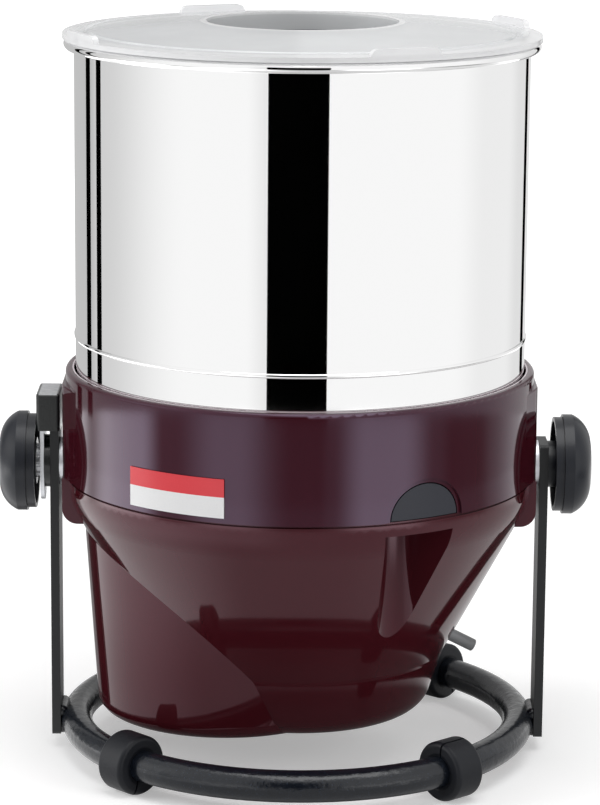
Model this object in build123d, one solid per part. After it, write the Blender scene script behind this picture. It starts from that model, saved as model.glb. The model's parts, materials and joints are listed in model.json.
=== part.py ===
from build123d import *
import math
import os

# A tilting countertop wet grinder.
# The origin is on the floor under the drum's axis, +Z is up, the switch side faces -Y.
# All lengths are in millimetres.

os.makedirs("parts", exist_ok=True)

# Driving sizes
drum_radius = 115.0
drum_height = 190.8
pivot_z = 151.8
overrun = 1.0

# Clearances between pieces
running_fit = 0.05
soft_gap = 0.3
side_gap = 0.1

# Body ring round the drum's foot
ring_wall = 2.8
ring_round = 2.2
ring_lip = 1.4
ring_lip_gap = 1.0
ring_below_pivot = 4.2
ring_height = 55.4
ledge_width = 9.0
ledge_thick = 2.4
deck_rise = 22.4
ring_inner = drum_radius + ring_lip_gap + ring_lip
ring_radius = ring_inner + ring_wall
ring_low_z = pivot_z - ring_below_pivot
ring_top_z = ring_low_z + ring_height
ledge_inner = ring_inner - ledge_width
deck_low_z = ring_low_z + deck_rise

# Pivot pads, flats whose flanks run out into the ring
pad_proud = 1.1
pad_half_width = 19.5
pad_depth = 17.4
pad_sink = 0.2
pad_below_top = 7.0
pad_edge = 0.8
pad_round = 25.0
pivot_face_x = ring_radius + pad_proud
pad_root_x = ring_inner - pad_depth

# Flat uprights
washer_thick = 2.1
bar_width = 25.0
bar_thick = 4.5
bar_below_tube = 7.5
bar_over_pivot_right = 12.2
bar_over_pivot_left = 34.7
bar_corner = 2.0
bar_inner_x = pivot_face_x + washer_thick + side_gap
bar_outer_x = bar_inner_x + bar_thick
bar_top_right_z = pivot_z + bar_over_pivot_right
bar_top_left_z = pivot_z + bar_over_pivot_left

# Stand tube and feet
tube_radius = 8.0
tube_wall = 1.5
foot_radius = 15.2
foot_length = 17.4
foot_round = 2.4
foot_slit = 1.0
foot_bore_edge = 1.6
foot_sink = 0.2
foot_azimuths = {"front_left": -46.4, "front_right": 41.5, "rear_right": 138.4, "rear_left": -135.0}
slit_azimuths = {"front_left": 160.0, "front_right": 8.0, "rear_right": 160.0, "rear_left": 160.0}
drain_radius = 1.6
drain_azimuth = 158.0
tube_bend_radius = bar_inner_x - tube_radius
tube_z = foot_radius - foot_sink
bar_low_z = tube_z - bar_below_tube

# Weld beads between the uprights and the ring
weld_radius = 3.2
weld_length = 11.0
weld_rise_share = 1.35
weld_end_share = 0.9
weld_sink_share = 0.2

# Cap over the left upright, its lock plate and the black disc behind that
cap_height = 19.2
cap_top_wall = 3.1
cap_wall = 1.6
cap_width = 29.0
cap_edge = 1.6
cap_inner_gap = 0.8
lock_plate_thick = 2.0
lock_plate_gap = 3.2
lock_plate_width = 21.0
lock_plate_below_pivot = 20.2
lock_plate_under_bar = 1.5
lock_foot_height = 8.0
disc_radius = 13.6
cap_top_z = bar_top_left_z + cap_top_wall
cap_low_z = cap_top_z - cap_height
lock_plate_low_z = pivot_z - lock_plate_below_pivot
lock_plate_top_z = bar_top_left_z - lock_plate_under_bar
lock_x = bar_outer_x + lock_plate_gap

# Switch in its arched recess
switch_azimuth = 31.0
arch_half_width = 19.5
arch_height = 18.2
arch_frame = 2.2
arch_recess = 1.2
arch_rise_share = 0.92
rocker_gap = 0.6
rocker_thick = 1.5
rocker_pin_radius = 1.2
rocker_pin_inset = 5.4
rocker_lug_half = 9.0
rocker_lug_thick = 3.0
rocker_lug_radius = 2.9
case_side_gap = 4.5
case_depth = 19.0
case_wall = 1.5
case_front_inset = 3.4
arch_top_z = ring_low_z + arch_height
case_half_width = arch_half_width + case_side_gap

# Lower housing: a cone, an upright motor bulge and a finger pocket
seam_gap = 1.2
seam_depth = 1.4
housing_step = 0.5
housing_wall = 3.0
housing_side_share = 1.12
housing_height = 124.1
collar_height = 10.8
collar_round = 34.0
cone_rise = 31.5
cone_draw = 43.7
sole_draw = 10.0
sole_round = 15.0
knee_round = 10.0
bulge_inset = 7.76
bulge_draw = 7.9
bulge_over_motor = 34.2
bulge_round = 8.0
waist_inset = 2.0
waist_round = 11.0
pocket_azimuth = 29.7
pocket_half_width = 20.5
pocket_nose_radius = 11.0
pocket_depth = 31.1
pocket_drop = 7.0
pocket_wall = 2.4
ear_drop = 24.1
ear_half_width = 22.0
ear_round = 8.0
pillar_radius = 6.0
pillar_places_share = ((0.04, -0.38), (0.37, -0.08), (-0.04, 0.42))
collar_radius = ring_radius - housing_step
housing_low_z = ring_low_z - housing_height
cone_top_z = ring_low_z - collar_height
cone_low_z = housing_low_z + cone_rise
cone_low_radius = collar_radius - cone_draw
sole_radius = cone_low_radius - sole_draw
pocket_top_z = ring_low_z - pocket_drop
ear_low_z = ring_low_z - ear_drop

# Deck plate under the drum, and the tabs that carry the pivots
deck_thick = 3.0
deck_gap = 0.5
tab_gap = 7.4
tab_thick = 3.0
tab_half_width = 18.0
tab_below_pivot = 13.8
deck_screw_count = 6
deck_screw_turn = 30.0
deck_top_z = deck_low_z + deck_thick
deck_radius = ring_inner - deck_gap
deck_screw_reach = ring_inner - ledge_width / 2
tab_outer_x = ring_inner - tab_gap
tab_low_z = pivot_z - tab_below_pivot

# Screws
screw_radius = 2.0
screw_head_radius = 3.8
screw_head_height = 2.2
slot_width = 1.0
slot_depth = 1.0
bolt_radius = 2.5
bolt_head_radius = 4.4
bolt_head_height = 3.4
bolt_length = 11.0
hex_depth = 1.8
hex_across = 4.0
housing_screw_z = housing_low_z + screw_head_height

# Pivots and clamp knobs
stud_radius = 5.0
stud_head_radius = 9.0
stud_head_thick = 3.5
stud_hole_gap = 0.4
washer_radius = 12.2
star_radius = 8.8
star_thick = 2.2
star_tooth_count = 12
star_tooth_depth = 1.4
knob_radius = 25.7
knob_step = 1.4
knob_dome_depth = 14.0
knob_skirt_depth = 4.4
knob_wall = 2.2
knob_hub_wall = 4.0
knob_hub_reach = 3.2
knob_left_hub_reach = 0.0
knob_flat_share = 0.30
knob_shoulder_share = 0.36
knob_bow_share = 0.72
knob_bow_radius_share = 0.80
insert_wall = 3.0
insert_depth = 11.0
stud_end_inset = 1.5
knob_skirt_radius = knob_radius - knob_step
insert_radius = stud_radius + insert_wall
knob_hub_radius = insert_radius + knob_hub_wall

# Motor and its plate, hung under the deck
motor_plate_drop = 70.0
motor_plate_thick = 3.0
motor_plate_edge = 7.0
motor_azimuth = 188.7
motor_side_gap = 21.7
motor_radius = 40.0
motor_height = 62.0
motor_wall = 2.0
motor_edge = 3.0
motor_boss_radius = 9.0
motor_boss_height = 6.0
motor_shaft_radius = 4.0
motor_vent_count = 8
motor_vent_radius = 3.5
motor_vent_ring_share = 0.68
motor_screw_ring_share = 0.86
motor_screw_turn = 45.0
motor_screw_count = 4
stator_wall = 14.0
stator_height = 28.0
stator_slots = 12
stator_slot_radius = 2.6
rotor_gap = 0.6
rotor_end_length = 1.0
fan_inset = 8.0
fan_height = 8.0
fan_blades = 7
fan_blade_thick = 1.6
fan_hub_wall = 4.0
fan_gap = 1.0
motor_reach = collar_radius - motor_side_gap - motor_radius
motor_turn = math.radians(motor_azimuth)
motor_x = motor_reach * math.cos(motor_turn)
motor_y = motor_reach * math.sin(motor_turn)
motor_plate_low_z = deck_low_z - motor_plate_drop
motor_plate_top_z = motor_plate_low_z + motor_plate_thick
motor_low_z = motor_plate_low_z - motor_height
motor_mid_z = motor_low_z + motor_height / 2
stator_bore = motor_radius - motor_wall - stator_wall
fan_radius = motor_radius - motor_wall - fan_inset
fan_hub_radius = motor_shaft_radius + fan_hub_wall
bulge_top_radius = motor_radius + bulge_over_motor
bulge_low_radius = bulge_top_radius - bulge_draw
bulge_reach = collar_radius - bulge_inset - bulge_top_radius
bulge_x = bulge_reach * math.cos(motor_turn)
bulge_y = bulge_reach * math.sin(motor_turn)

# Belt and pulleys
pulley_rise = 10.0
motor_pulley_radius = 6.0
pulley_separation = 4.0
pulley_height = 14.0
pulley_flange = 1.8
pulley_flange_thick = 1.6
pulley_web = 4.0
pulley_rim = 5.0
pulley_hole_count = 6
pulley_hole_radius = 9.0
belt_width = 10.0
belt_thick = 1.8
spacer_radius = 5.0
spacer_gap = 6.0
spacer_turns = (60.0, 180.0, 300.0)
drum_pulley_radius = motor_reach - motor_pulley_radius - pulley_separation
pulley_low_z = motor_plate_low_z + pulley_rise
pulley_mid_z = pulley_low_z + pulley_height / 2
spacer_reach = drum_pulley_radius + spacer_gap + spacer_radius
motor_plate_radius = spacer_reach + motor_plate_edge

# Run capacitor on the housing's floor
capacitor_radius = 16.0
capacitor_height = 52.0
capacitor_edge = 2.0
capacitor_gap = 0.94
capacitor_turn = math.radians(49.76)
capacitor_reach = sole_radius - sole_round - capacitor_gap - capacitor_radius
capacitor_x = capacitor_reach * math.cos(capacitor_turn)
capacitor_y = capacitor_reach * math.sin(capacitor_turn)

# Centre post and the bearings of the drum
post_radius = 6.0
post_collar_flange = 4.0
post_collar_height = 2.0
post_foot_depth = 10.0
post_key_length = 36.0
post_key_below = 10.0
post_key_flat = 1.5
post_thread_cut = 1.1
post_over_knob = 1.0
sleeve_wall = 2.5
sleeve_gap = 0.3
sleeve_drop = 3.0
bearing_width = 8.7
bearing_height = 10.0
bearing_groove = 0.8
bearing_land = 3.2
bearing_rise = 19.0
bearing_spacing = 28.0
bearing_shoulder = 2.5
bearing_lip = 1.0
bearing_housing_wall = 4.5
bearing_flange_width = 16.0
bearing_flange_thick = 4.0
bearing_rib_count = 4
bearing_rib_thick = 4.0
bearing_screw_count = 4
bearing_screw_turn = 45.0
post_collar_radius = post_radius + post_collar_flange
post_key_across = 2 * (post_radius - post_key_flat)
post_thread_radius = post_radius - post_thread_cut
sleeve_inner = post_radius + sleeve_gap
sleeve_outer = sleeve_inner + sleeve_wall
sleeve_low_z = pulley_low_z - sleeve_drop
bearing_radius = sleeve_outer + bearing_width
bearing_low_z = pulley_low_z + bearing_rise
bearing_high_z = bearing_low_z + bearing_spacing
bearing_flange_radius = bearing_radius + bearing_housing_wall + bearing_flange_width

# Drum
drum_wall = 1.2
drum_corner = 7.0
bead_radius = 2.5
bead_reach = 5.2
seam_rise = 40.4
seam_height = 2.2
seam_proud = 0.7
hub_flange = 27.0
hub_thick = 4.0
hub_boss_wall = 6.2
hub_boss_thick = 2.0
hub_deck_gap = 1.0
riser_gap = 3.7
riser_wall = 1.5
riser_flange = 6.0
stone_gap = 1.2
stone_height = 24.8
stone_chamfer = 9.0
stone_edge = 2.0
stone_bore_gap = 1.0
drum_inner = drum_radius - drum_wall
hub_boss_radius = sleeve_outer + hub_boss_wall
hub_radius = hub_boss_radius + hub_flange
drum_floor_z = deck_top_z + hub_deck_gap + hub_boss_thick + hub_thick
drum_rim_z = drum_floor_z + drum_height
seam_z = drum_floor_z + seam_rise
stone_floor_z = drum_floor_z + drum_wall
stone_top_z = stone_floor_z + stone_height
riser_inner = sleeve_outer + riser_gap
riser_radius = riser_inner + riser_wall

# Roller stones on slanted axles
roller_slant_share = 0.4
roller_near = 40.0
roller_wall_gap = 10.15
roller_ease = 2.0
axle_radius = 6.0
axle_root = 1.5
axle_collar = 2.6
axle_collar_length = 11.2
axle_head = 4.0
axle_head_thick = 4.0
axle_end_gap = 0.8
bush_wall = 3.0
roller_lift = 0.3
apex_z = stone_top_z + roller_lift
roller_slant = math.asin(roller_slant_share)
roller_far = (drum_inner - roller_wall_gap) * math.cos(roller_slant)
axle_collar_radius = axle_radius + axle_collar
axle_collar_near = roller_near - axle_end_gap - axle_collar_length
axle_head_radius = axle_radius + axle_head

# Stone holder and scraper
holder_wall = 5.0
holder_bore_gap = 2.0
holder_lift = 5.0
holder_block_rise = 75.0
holder_block_height = 12.0
holder_edge = 1.5
holder_root_wall = 1.0
holder_riser_gap = 13.0
key_gap = 0.12
arm_thick = 3.0
arm_width = 14.0
arm_wall_gap = 5.8
arm_drop = 48.0
blade_width = 24.0
blade_wall_gap = 0.8
blade_lift = 8.0
blade_drop = 10.0
holder_bore = riser_radius + holder_bore_gap
holder_radius = holder_bore + holder_wall
holder_low_z = stone_top_z + holder_lift
holder_block_z = holder_low_z + holder_block_rise
holder_top_z = holder_block_z + holder_block_height
riser_top_z = holder_block_z - holder_riser_gap
axle_start = holder_bore + axle_root
arm_top_z = holder_top_z + arm_thick
arm_drop_z = holder_top_z - arm_drop
arm_reach = drum_inner - arm_wall_gap
blade_outer_reach = drum_inner - blade_wall_gap
blade_low_z = stone_top_z + blade_lift
blade_top_z = holder_top_z - blade_drop
post_key_low_z = holder_block_z - post_key_below
post_key_high_z = post_key_low_z + post_key_length

# Tension spring and knob
spring_length = 17.0
spring_wire_radius = 1.1
spring_post_gap = 2.1
spring_turns = 4
spring_steps_per_turn = 4
spring_samples = 48
tension_knob_radius = 17.0
tension_knob_height = 20.0
tension_grip_count = 8
tension_grip_radius = 3.6
tension_edge = 1.5
spring_radius = post_radius + spring_post_gap + spring_wire_radius
tension_knob_low_z = arm_top_z + spring_length
tension_knob_top_z = tension_knob_low_z + tension_knob_height
post_top_z = tension_knob_top_z + post_over_knob

# Lid
lid_seat_gap = 0.3
lid_overhang = 0.6
lid_edge_height = 2.6
lid_rise = 8.5
lid_wall = 2.0
lid_hole_radius = 50.4
lid_skirt_height = 9.0
lid_skirt_thick = 1.8
lid_groove_inset = 10.3
lid_groove_width = 3.4
lid_groove_depth = 1.0
lid_spigot_gap = 1.4
lid_spigot_wall = 1.8
lid_spigot_depth = 8.1
lid_lug_width = 37.0
lid_lug_thick = 3.0
lid_lug_height = 6.3
lid_lug_round = 4.0
lid_lug_azimuths = (-66.0, 24.0, 114.0, 204.0)
lid_seat_z = drum_rim_z + lid_seat_gap
lid_radius = drum_radius + bead_reach + lid_overhang
lid_hole_top_z = lid_seat_z + lid_rise
lid_groove_radius = lid_radius - lid_groove_inset
lid_spigot_low_z = lid_seat_z - lid_spigot_depth
lid_lug_top_z = lid_seat_z + lid_lug_height

# Label plate and cord gland
label_from_azimuth = -43.5
label_to_azimuth = -17.7
label_rise = 2.6
label_height = 19.4
label_thick = 0.35
gland_azimuth = 100.0
gland_rise = 3.0
gland_radius = 3.3
gland_wall = 1.2
gland_length = 19.0
gland_inner_length = 6.0
gland_hole_depth = 9.0
gland_flange_width = 2.7
gland_flange_thick = 2.2
label_low_z = ring_low_z + label_rise
label_top_z = label_low_z + label_height
gland_z = cone_low_z + gland_rise
gland_bore = gland_radius - gland_wall
gland_flange_radius = gland_radius + gland_flange_width


def rod(radius, low, high, x=0, y=0):
    """An upright cylinder between two heights."""
    return Pos(x, y, low) * Cylinder(radius, high - low, align=(Align.CENTER, Align.CENTER, Align.MIN))


def tube(outer, inner, low, high, x=0, y=0):
    """An upright tube between two heights."""
    return rod(outer, low, high, x, y) - rod(inner, low - overrun, high + overrun, x, y)


def cross_rod(radius, low, high, side, z=pivot_z):
    """A cylinder along X on one side of the part, from low to high away from the middle."""
    height = high - low
    lying = Rot(0, 90, 0) * Cylinder(radius, height, align=(Align.CENTER, Align.CENTER, Align.MIN))
    body = Pos(low, 0, z) * lying
    return body if side > 0 else mirror(body, Plane.YZ)


def block(x0, x1, y0, y1, z0, z1):
    """A box between two corners."""
    size = (x1 - x0, y1 - y0, z1 - z0)
    return Pos((x0 + x1) / 2, (y0 + y1) / 2, (z0 + z1) / 2) * Box(*size)


def turned(points):
    """A solid of revolution about the drum's axis, from points of radius and height."""
    return revolve(Plane.XZ * make_face(Polyline(*points, close=True)), Axis.Z)


def around(body, azimuth):
    """A body made facing +X, turned about the drum's axis; azimuth runs from the front to the right."""
    return Rot(0, 0, azimuth - 90) * body


def spread(body, count, turn=0.0):
    """Copies of a body at even turns about the drum's axis."""
    return [Rot(0, 0, turn + 360 / count * i) * body for i in range(count)]


def joined(pieces):
    """One body from several that lie apart."""
    return Compound(children=[solid for piece in pieces for solid in piece.solids()])


def slotted_screw(seat_z, length, x, y, up=1):
    """A round-headed screw with a slot; its head lies above the seat, or below it where up is -1."""
    body = rod(screw_radius, -length, 0) + rod(screw_head_radius, 0, screw_head_height)
    body = fillet(body.edges().filter_by(GeomType.CIRCLE).sort_by(Axis.Z)[-1], screw_head_height / 2)
    top = screw_head_height
    body -= block(-slot_width / 2, slot_width / 2, -screw_head_radius, screw_head_radius,
                  top - slot_depth, top + overrun)
    if up < 0:
        body = Rot(180, 0, 0) * body
    return Pos(x, y, seat_z) * body


def socket_bolt(seat_z, x, y, up=1, length=bolt_length):
    """A socket-headed bolt with a six-sided recess."""
    body = rod(bolt_radius, -length, 0) + rod(bolt_head_radius, 0, bolt_head_height)
    hexagon = extrude(RegularPolygon(hex_across / 2, 6, major_radius=False), hex_depth + overrun)
    body -= Pos(0, 0, bolt_head_height - hex_depth) * hexagon
    if up < 0:
        body = Rot(180, 0, 0) * body
    return Pos(x, y, seat_z) * body


# Stand

def make_stand_ring():
    """The hollow floor ring, with the drain hole of its coating bath."""
    body = Pos(0, 0, tube_z) * Torus(tube_bend_radius, tube_radius)
    body -= Pos(0, 0, tube_z) * Torus(tube_bend_radius, tube_radius - tube_wall)
    drain = rod(drain_radius, tube_z, tube_z + tube_radius + overrun, tube_bend_radius, 0)
    return body - Rot(0, 0, drain_azimuth) * drain


def make_foot(azimuth, slit_azimuth):
    """A split rubber ring snapped over the tube through its slit, cut flat where it stands."""
    body = Cylinder(foot_radius, foot_length)
    body = fillet(body.edges().filter_by(GeomType.CIRCLE), foot_round)
    body -= Pos(0, 0, foot_length / 2) * Cone(0, tube_radius + foot_bore_edge, 2 * foot_bore_edge,
                                              align=(Align.CENTER, Align.CENTER, Align.MAX))
    body -= Pos(0, 0, -foot_length / 2) * Cone(tube_radius + foot_bore_edge, 0, 2 * foot_bore_edge,
                                               align=(Align.CENTER, Align.CENTER, Align.MIN))
    slit = block(-foot_slit / 2, foot_slit / 2, 0, foot_radius + overrun, -foot_length, foot_length)
    body = Rot(90, 0, 0) * (body - Rot(0, 0, -slit_azimuth) * slit)
    body = Pos(tube_bend_radius, 0, tube_z) * body
    body &= block(0, tube_bend_radius + 2 * foot_radius, -foot_length, foot_length,
                  0, tube_z + 2 * foot_radius)
    core = Pos(0, 0, tube_z) * Torus(tube_bend_radius, tube_radius)
    return around(body - core, azimuth)


def make_upright(side, top_z):
    """A flat bar welded to the ring, with the pivot hole and eased corners."""
    bar = block(bar_inner_x, bar_outer_x, -bar_width / 2, bar_width / 2, bar_low_z, top_z)
    bar = fillet(bar.edges().filter_by(Axis.X), bar_corner)
    if side < 0:
        bar = mirror(bar, Plane.YZ)
    return bar - cross_rod(stud_radius + running_fit, bar_inner_x - overrun, bar_outer_x + overrun, side)


def make_weld_beads(bars):
    """Weld metal in the corners between the bars and the ring."""
    core = Pos(0, 0, tube_z) * Torus(tube_bend_radius, tube_radius)
    beads = []
    for side in (-1, 1):
        for level in (-1, 1):
            center_z = tube_z + level * weld_radius * weld_rise_share
            bead = Rot(90, 0, 0) * Cylinder(weld_radius, 2 * weld_length)
            bead = fillet(bead.edges().filter_by(GeomType.CIRCLE), weld_radius * weld_end_share)
            bead = Pos(side * (bar_inner_x - weld_radius * weld_sink_share), 0, center_z) * bead
            bead = bead - core - bars[side]
            keep = block(-bar_inner_x, bar_inner_x, -bar_width, bar_width, 0, tube_z + bar_width)
            bead = bead & keep
            beads.append(max(bead.solids(), key=lambda solid: solid.volume))
    return joined(beads)


def make_upright_cap():
    """The moulded cap that closes over the left bar and its lock plate."""
    outer_x = lock_x + lock_plate_thick + cap_wall
    inner_x = bar_inner_x - cap_inner_gap
    body = block(-outer_x, -inner_x, -cap_width / 2, cap_width / 2, cap_low_z, cap_top_z)
    body = fillet(body.edges().filter_by(Axis.Z), cap_edge)
    body = chamfer(body.edges().group_by(Axis.Z)[-1], cap_edge / 2)
    hollow = block(-lock_x - lock_plate_thick, -bar_inner_x, -bar_width / 2, bar_width / 2,
                   cap_low_z - overrun, bar_top_left_z)
    return body - hollow


def make_lock_plate():
    """The plated plate outside the left bar, with a round lower end and a foot bent in to the bar."""
    face = make_face(Polyline(
        (-lock_plate_width / 2, lock_plate_low_z + lock_plate_width / 2),
        (-lock_plate_width / 2, lock_plate_top_z),
        (lock_plate_width / 2, lock_plate_top_z),
        (lock_plate_width / 2, lock_plate_low_z + lock_plate_width / 2), close=True))
    face += Pos(0, lock_plate_low_z + lock_plate_width / 2) * Circle(lock_plate_width / 2)
    body = Pos(-lock_x - lock_plate_thick, 0, 0) * extrude(Plane.YZ * face, lock_plate_thick)
    foot = block(-lock_x, -bar_outer_x, -lock_plate_width / 2, lock_plate_width / 2,
                 lock_plate_top_z - lock_foot_height, lock_plate_top_z)
    body += foot
    return body - cross_rod(stud_radius + running_fit, lock_x - overrun,
                            lock_x + lock_plate_thick + overrun, -1)


def make_pivot_disc():
    """The black disc that keeps the lock plate off the left bar."""
    body = cross_rod(disc_radius, bar_outer_x, lock_x, -1)
    return body - cross_rod(stud_radius + running_fit, bar_outer_x - overrun, lock_x + overrun, -1)


# Base

def arch_prism(half_width, top_z, near, far, low_z=ring_low_z):
    """The arched outline of the switch's recess, cut along its own azimuth between two radii."""
    rise = half_width * arch_rise_share
    face = make_face(Polyline(
        (-half_width, low_z - overrun), (-half_width, top_z - rise),
        (half_width, top_z - rise), (half_width, low_z - overrun), close=True))
    crown = Pos(0, top_z - rise) * Ellipse(half_width, rise)
    crown &= Pos(0, top_z - rise / 2) * Rectangle(2 * half_width + overrun, rise)
    body = Pos(near, 0, 0) * extrude(Plane.YZ * (face + crown), far - near)
    return around(body, switch_azimuth)


def pivot_pad(side):
    """The flat round a pivot, whose two flanks run out into the ring."""
    corner = math.hypot(pivot_face_x, pad_half_width)
    lean = math.atan2(pad_half_width, pivot_face_x) + math.acos((ring_radius - pad_sink) / corner)
    foot_x = (ring_radius - pad_sink) * math.cos(lean)
    foot_y = (ring_radius - pad_sink) * math.sin(lean)
    face = make_face(Polyline((foot_x, -foot_y), (pivot_face_x, -pad_half_width),
                              (pivot_face_x, pad_half_width), (foot_x, foot_y), close=True))
    pad = Pos(0, 0, ring_low_z) * extrude(face, ring_height - pad_below_top)
    pad = fillet(pad.edges().filter_by(Axis.Z).group_by(Axis.X)[-1], pad_round)
    pad = fillet(pad.faces().sort_by(Axis.Z)[-1].edges().sort_by(Axis.X)[-1], pad_edge)
    return pad if side > 0 else mirror(pad, Plane.YZ)


def make_body_ring():
    """The glossy ring round the drum's foot, with its ledge, pivot pads and arched recess."""
    top = ring_top_z
    body = turned([
        (ring_inner, ring_low_z), (ring_radius, ring_low_z), (ring_radius, top),
        (ring_inner - ring_lip, top), (ring_inner - ring_lip, top - ring_wall),
        (ring_inner, top - ring_wall - ring_lip), (ring_inner, deck_low_z),
        (ledge_inner, deck_low_z), (ledge_inner, deck_low_z - ledge_thick),
        (ring_inner, deck_low_z - ledge_thick),
    ])
    edge = body.edges().filter_by(GeomType.CIRCLE).group_by(Axis.Z)[-1].sort_by(lambda e: e.radius)[-1]
    body = fillet(edge, ring_round)
    bore = rod(ring_inner, 0, drum_rim_z)
    for side in (-1, 1):
        body += pivot_pad(side) - bore
        body -= cross_rod(stud_radius + stud_hole_gap, pad_root_x, pivot_face_x + overrun, side)
        notch = block(tab_outer_x - tab_thick - overrun, ring_inner, -tab_half_width - overrun,
                      tab_half_width + overrun, ring_low_z, deck_low_z)
        body -= notch if side > 0 else mirror(notch, Plane.YZ)
    frame = arch_prism(arch_half_width + arch_frame, arch_top_z + arch_frame,
                       ring_inner - case_depth, ring_radius + overrun)
    body -= frame - rod(ring_radius - arch_recess, 0, ring_top_z)
    body -= arch_prism(arch_half_width, arch_top_z, ring_inner - case_depth, ring_radius + overrun)
    for hole in deck_screws():
        body -= hole
    return body


def housing_form(inset):
    """The outer form of the lower housing, or its hollow where an inset is given."""
    low = housing_low_z + inset
    top = ring_low_z + (overrun if inset else 0)
    side_inset = inset * housing_side_share
    points = [
        (0, low), (sole_radius - side_inset, low), (cone_low_radius - side_inset, cone_low_z),
        (collar_radius - side_inset, cone_top_z), (collar_radius - side_inset, top), (0, top),
    ]
    body = turned(points)
    brow = [e for e in body.edges().filter_by(GeomType.CIRCLE) if abs(e.center().Z - cone_top_z) < overrun]
    body = fillet(brow, collar_round - inset)
    sole = [e for e in body.edges().filter_by(GeomType.CIRCLE) if abs(e.center().Z - low) < overrun]
    body = fillet(sole, sole_round - inset)
    knee = [e for e in body.edges().filter_by(GeomType.CIRCLE) if abs(e.center().Z - cone_low_z) < overrun]
    body = fillet(knee, knee_round + inset)
    height = cone_top_z - low
    bulge = Pos(bulge_x, bulge_y, low) * Cone(
        bulge_low_radius - inset, bulge_top_radius - inset, height,
        align=(Align.CENTER, Align.CENTER, Align.MIN))
    bulge = fillet(bulge.edges().filter_by(GeomType.CIRCLE).sort_by(Axis.Z)[0], bulge_round - inset)
    reach = math.hypot(bulge_x, bulge_y)
    half = min(bulge_low_radius, sole_radius) - waist_inset - inset
    waist = block(0, reach, -half, half, low, cone_low_z - inset)
    waist = fillet(waist.edges().filter_by(Axis.X).group_by(Axis.Z)[0], waist_round - inset)
    turn = math.degrees(math.atan2(bulge_y, bulge_x))
    return body + bulge + Rot(0, 0, turn) * waist


def pillar_places():
    """Where the housing's screw pillars stand."""
    return [(share_x * collar_radius, share_y * collar_radius) for share_x, share_y in pillar_places_share]


def pocket_form(grow):
    """The finger pocket: in plan a round nose towards the drum's axis and two flanks that spread."""
    mouth_reach = collar_radius + overrun
    nose = pocket_nose_radius + grow
    nose_reach = mouth_reach - pocket_depth + pocket_nose_radius
    run = mouth_reach - nose_reach
    mouth = pocket_half_width + grow
    lean = math.atan2(mouth, run) - math.asin(nose / math.hypot(run, mouth))
    shoulder_x = nose_reach - nose * math.sin(lean)
    shoulder_y = nose * math.cos(lean)
    face = make_face(Polyline((shoulder_x, -shoulder_y), (mouth_reach, -mouth), (mouth_reach, mouth),
                              (shoulder_x, shoulder_y), close=True))
    face += Pos(nose_reach, 0) * Circle(nose)
    form = Pos(0, 0, housing_low_z) * extrude(face, pocket_top_z + grow - housing_low_z)
    return around(form, pocket_azimuth)


def make_lower_housing():
    """The moulded lower housing: cone, motor bulge, finger pocket, ears and screw pillars."""
    outer = housing_form(0)
    hollow = housing_form(housing_wall)
    body = outer - (hollow - pocket_form(pocket_wall)) - pocket_form(0)
    body -= tube(collar_radius + overrun, collar_radius - seam_depth, ring_low_z - seam_gap, ring_low_z)
    for side in (-1, 1):
        ear = block(pad_root_x, pivot_face_x, -ear_half_width, ear_half_width, ear_low_z, ring_low_z)
        lower = ear.edges().filter_by(Axis.Y).group_by(Axis.Z)[0].sort_by(Axis.X)[-1]
        ear = fillet(lower, ear_round)
        ear = ear if side > 0 else mirror(ear, Plane.YZ)
        body += ear - hollow
        body -= cross_rod(stud_radius + stud_hole_gap, pad_root_x, pivot_face_x + overrun, side)
    for x, y in pillar_places():
        body += rod(pillar_radius, housing_low_z + housing_wall / 2, motor_plate_low_z, x, y)
        body -= rod(screw_radius, housing_low_z, motor_plate_low_z + overrun, x, y)
        body -= rod(screw_head_radius + side_gap, housing_low_z - overrun,
                    housing_low_z + screw_head_height, x, y)
    body -= gland_place(rod(gland_radius, -gland_hole_depth, gland_length))
    return body


def gland_place(body):
    """Puts a body made along +Z onto the cone's flank, square to it, at the gland's azimuth."""
    slope = math.degrees(math.atan2(collar_radius - cone_low_radius, cone_top_z - cone_low_z))
    reach = cone_low_radius + (gland_z - cone_low_z) * math.tan(math.radians(slope))
    turned_out = Pos(reach, 0, gland_z) * (Rot(0, 90 + slope, 0) * body)
    return around(turned_out, gland_azimuth)


def make_cord_gland():
    """The grey gland at the rear right, with its flange and open bore."""
    body = rod(gland_radius, -gland_inner_length, gland_length)
    body += rod(gland_flange_radius, side_gap, gland_flange_thick)
    body -= rod(gland_bore, -gland_hole_depth, gland_length + overrun)
    mouth = body.edges().filter_by(GeomType.CIRCLE).group_by(Axis.Z)[-1].sort_by(lambda e: e.radius)[-1]
    return gland_place(fillet(mouth, (gland_radius - gland_bore) / 2))


def make_deck_plate():
    """The steel deck under the drum, with a tab at each side that carries a pivot."""
    body = rod(deck_radius, deck_low_z, deck_top_z) - rod(bearing_radius + bearing_shoulder,
                                                          deck_low_z - overrun, deck_top_z + overrun)
    for side in (-1, 1):
        tab = block(tab_outer_x - tab_thick, tab_outer_x, -tab_half_width, tab_half_width,
                    tab_low_z, deck_low_z)
        tab = fillet(tab.edges().filter_by(Axis.X).group_by(Axis.Z)[0], tab_thick)
        body += tab if side > 0 else mirror(tab, Plane.YZ)
        body -= cross_rod(stud_radius, tab_outer_x - tab_thick - overrun, tab_outer_x + overrun, side)
    for hole in deck_screws():
        body -= hole
    for hole in machine_screws():
        body -= hole
    return body


def deck_screws():
    """Screws that hold the ring's ledge under the deck."""
    screw = slotted_screw(deck_top_z, deck_thick + ledge_thick, deck_screw_reach, 0)
    return spread(screw, deck_screw_count, deck_screw_turn)


def spacer_places():
    """Where the spacers stand that hang the motor plate under the deck."""
    places = []
    for turn in spacer_turns:
        angle = math.radians(motor_azimuth + turn)
        places.append((spacer_reach * math.cos(angle), spacer_reach * math.sin(angle)))
    return places


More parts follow.
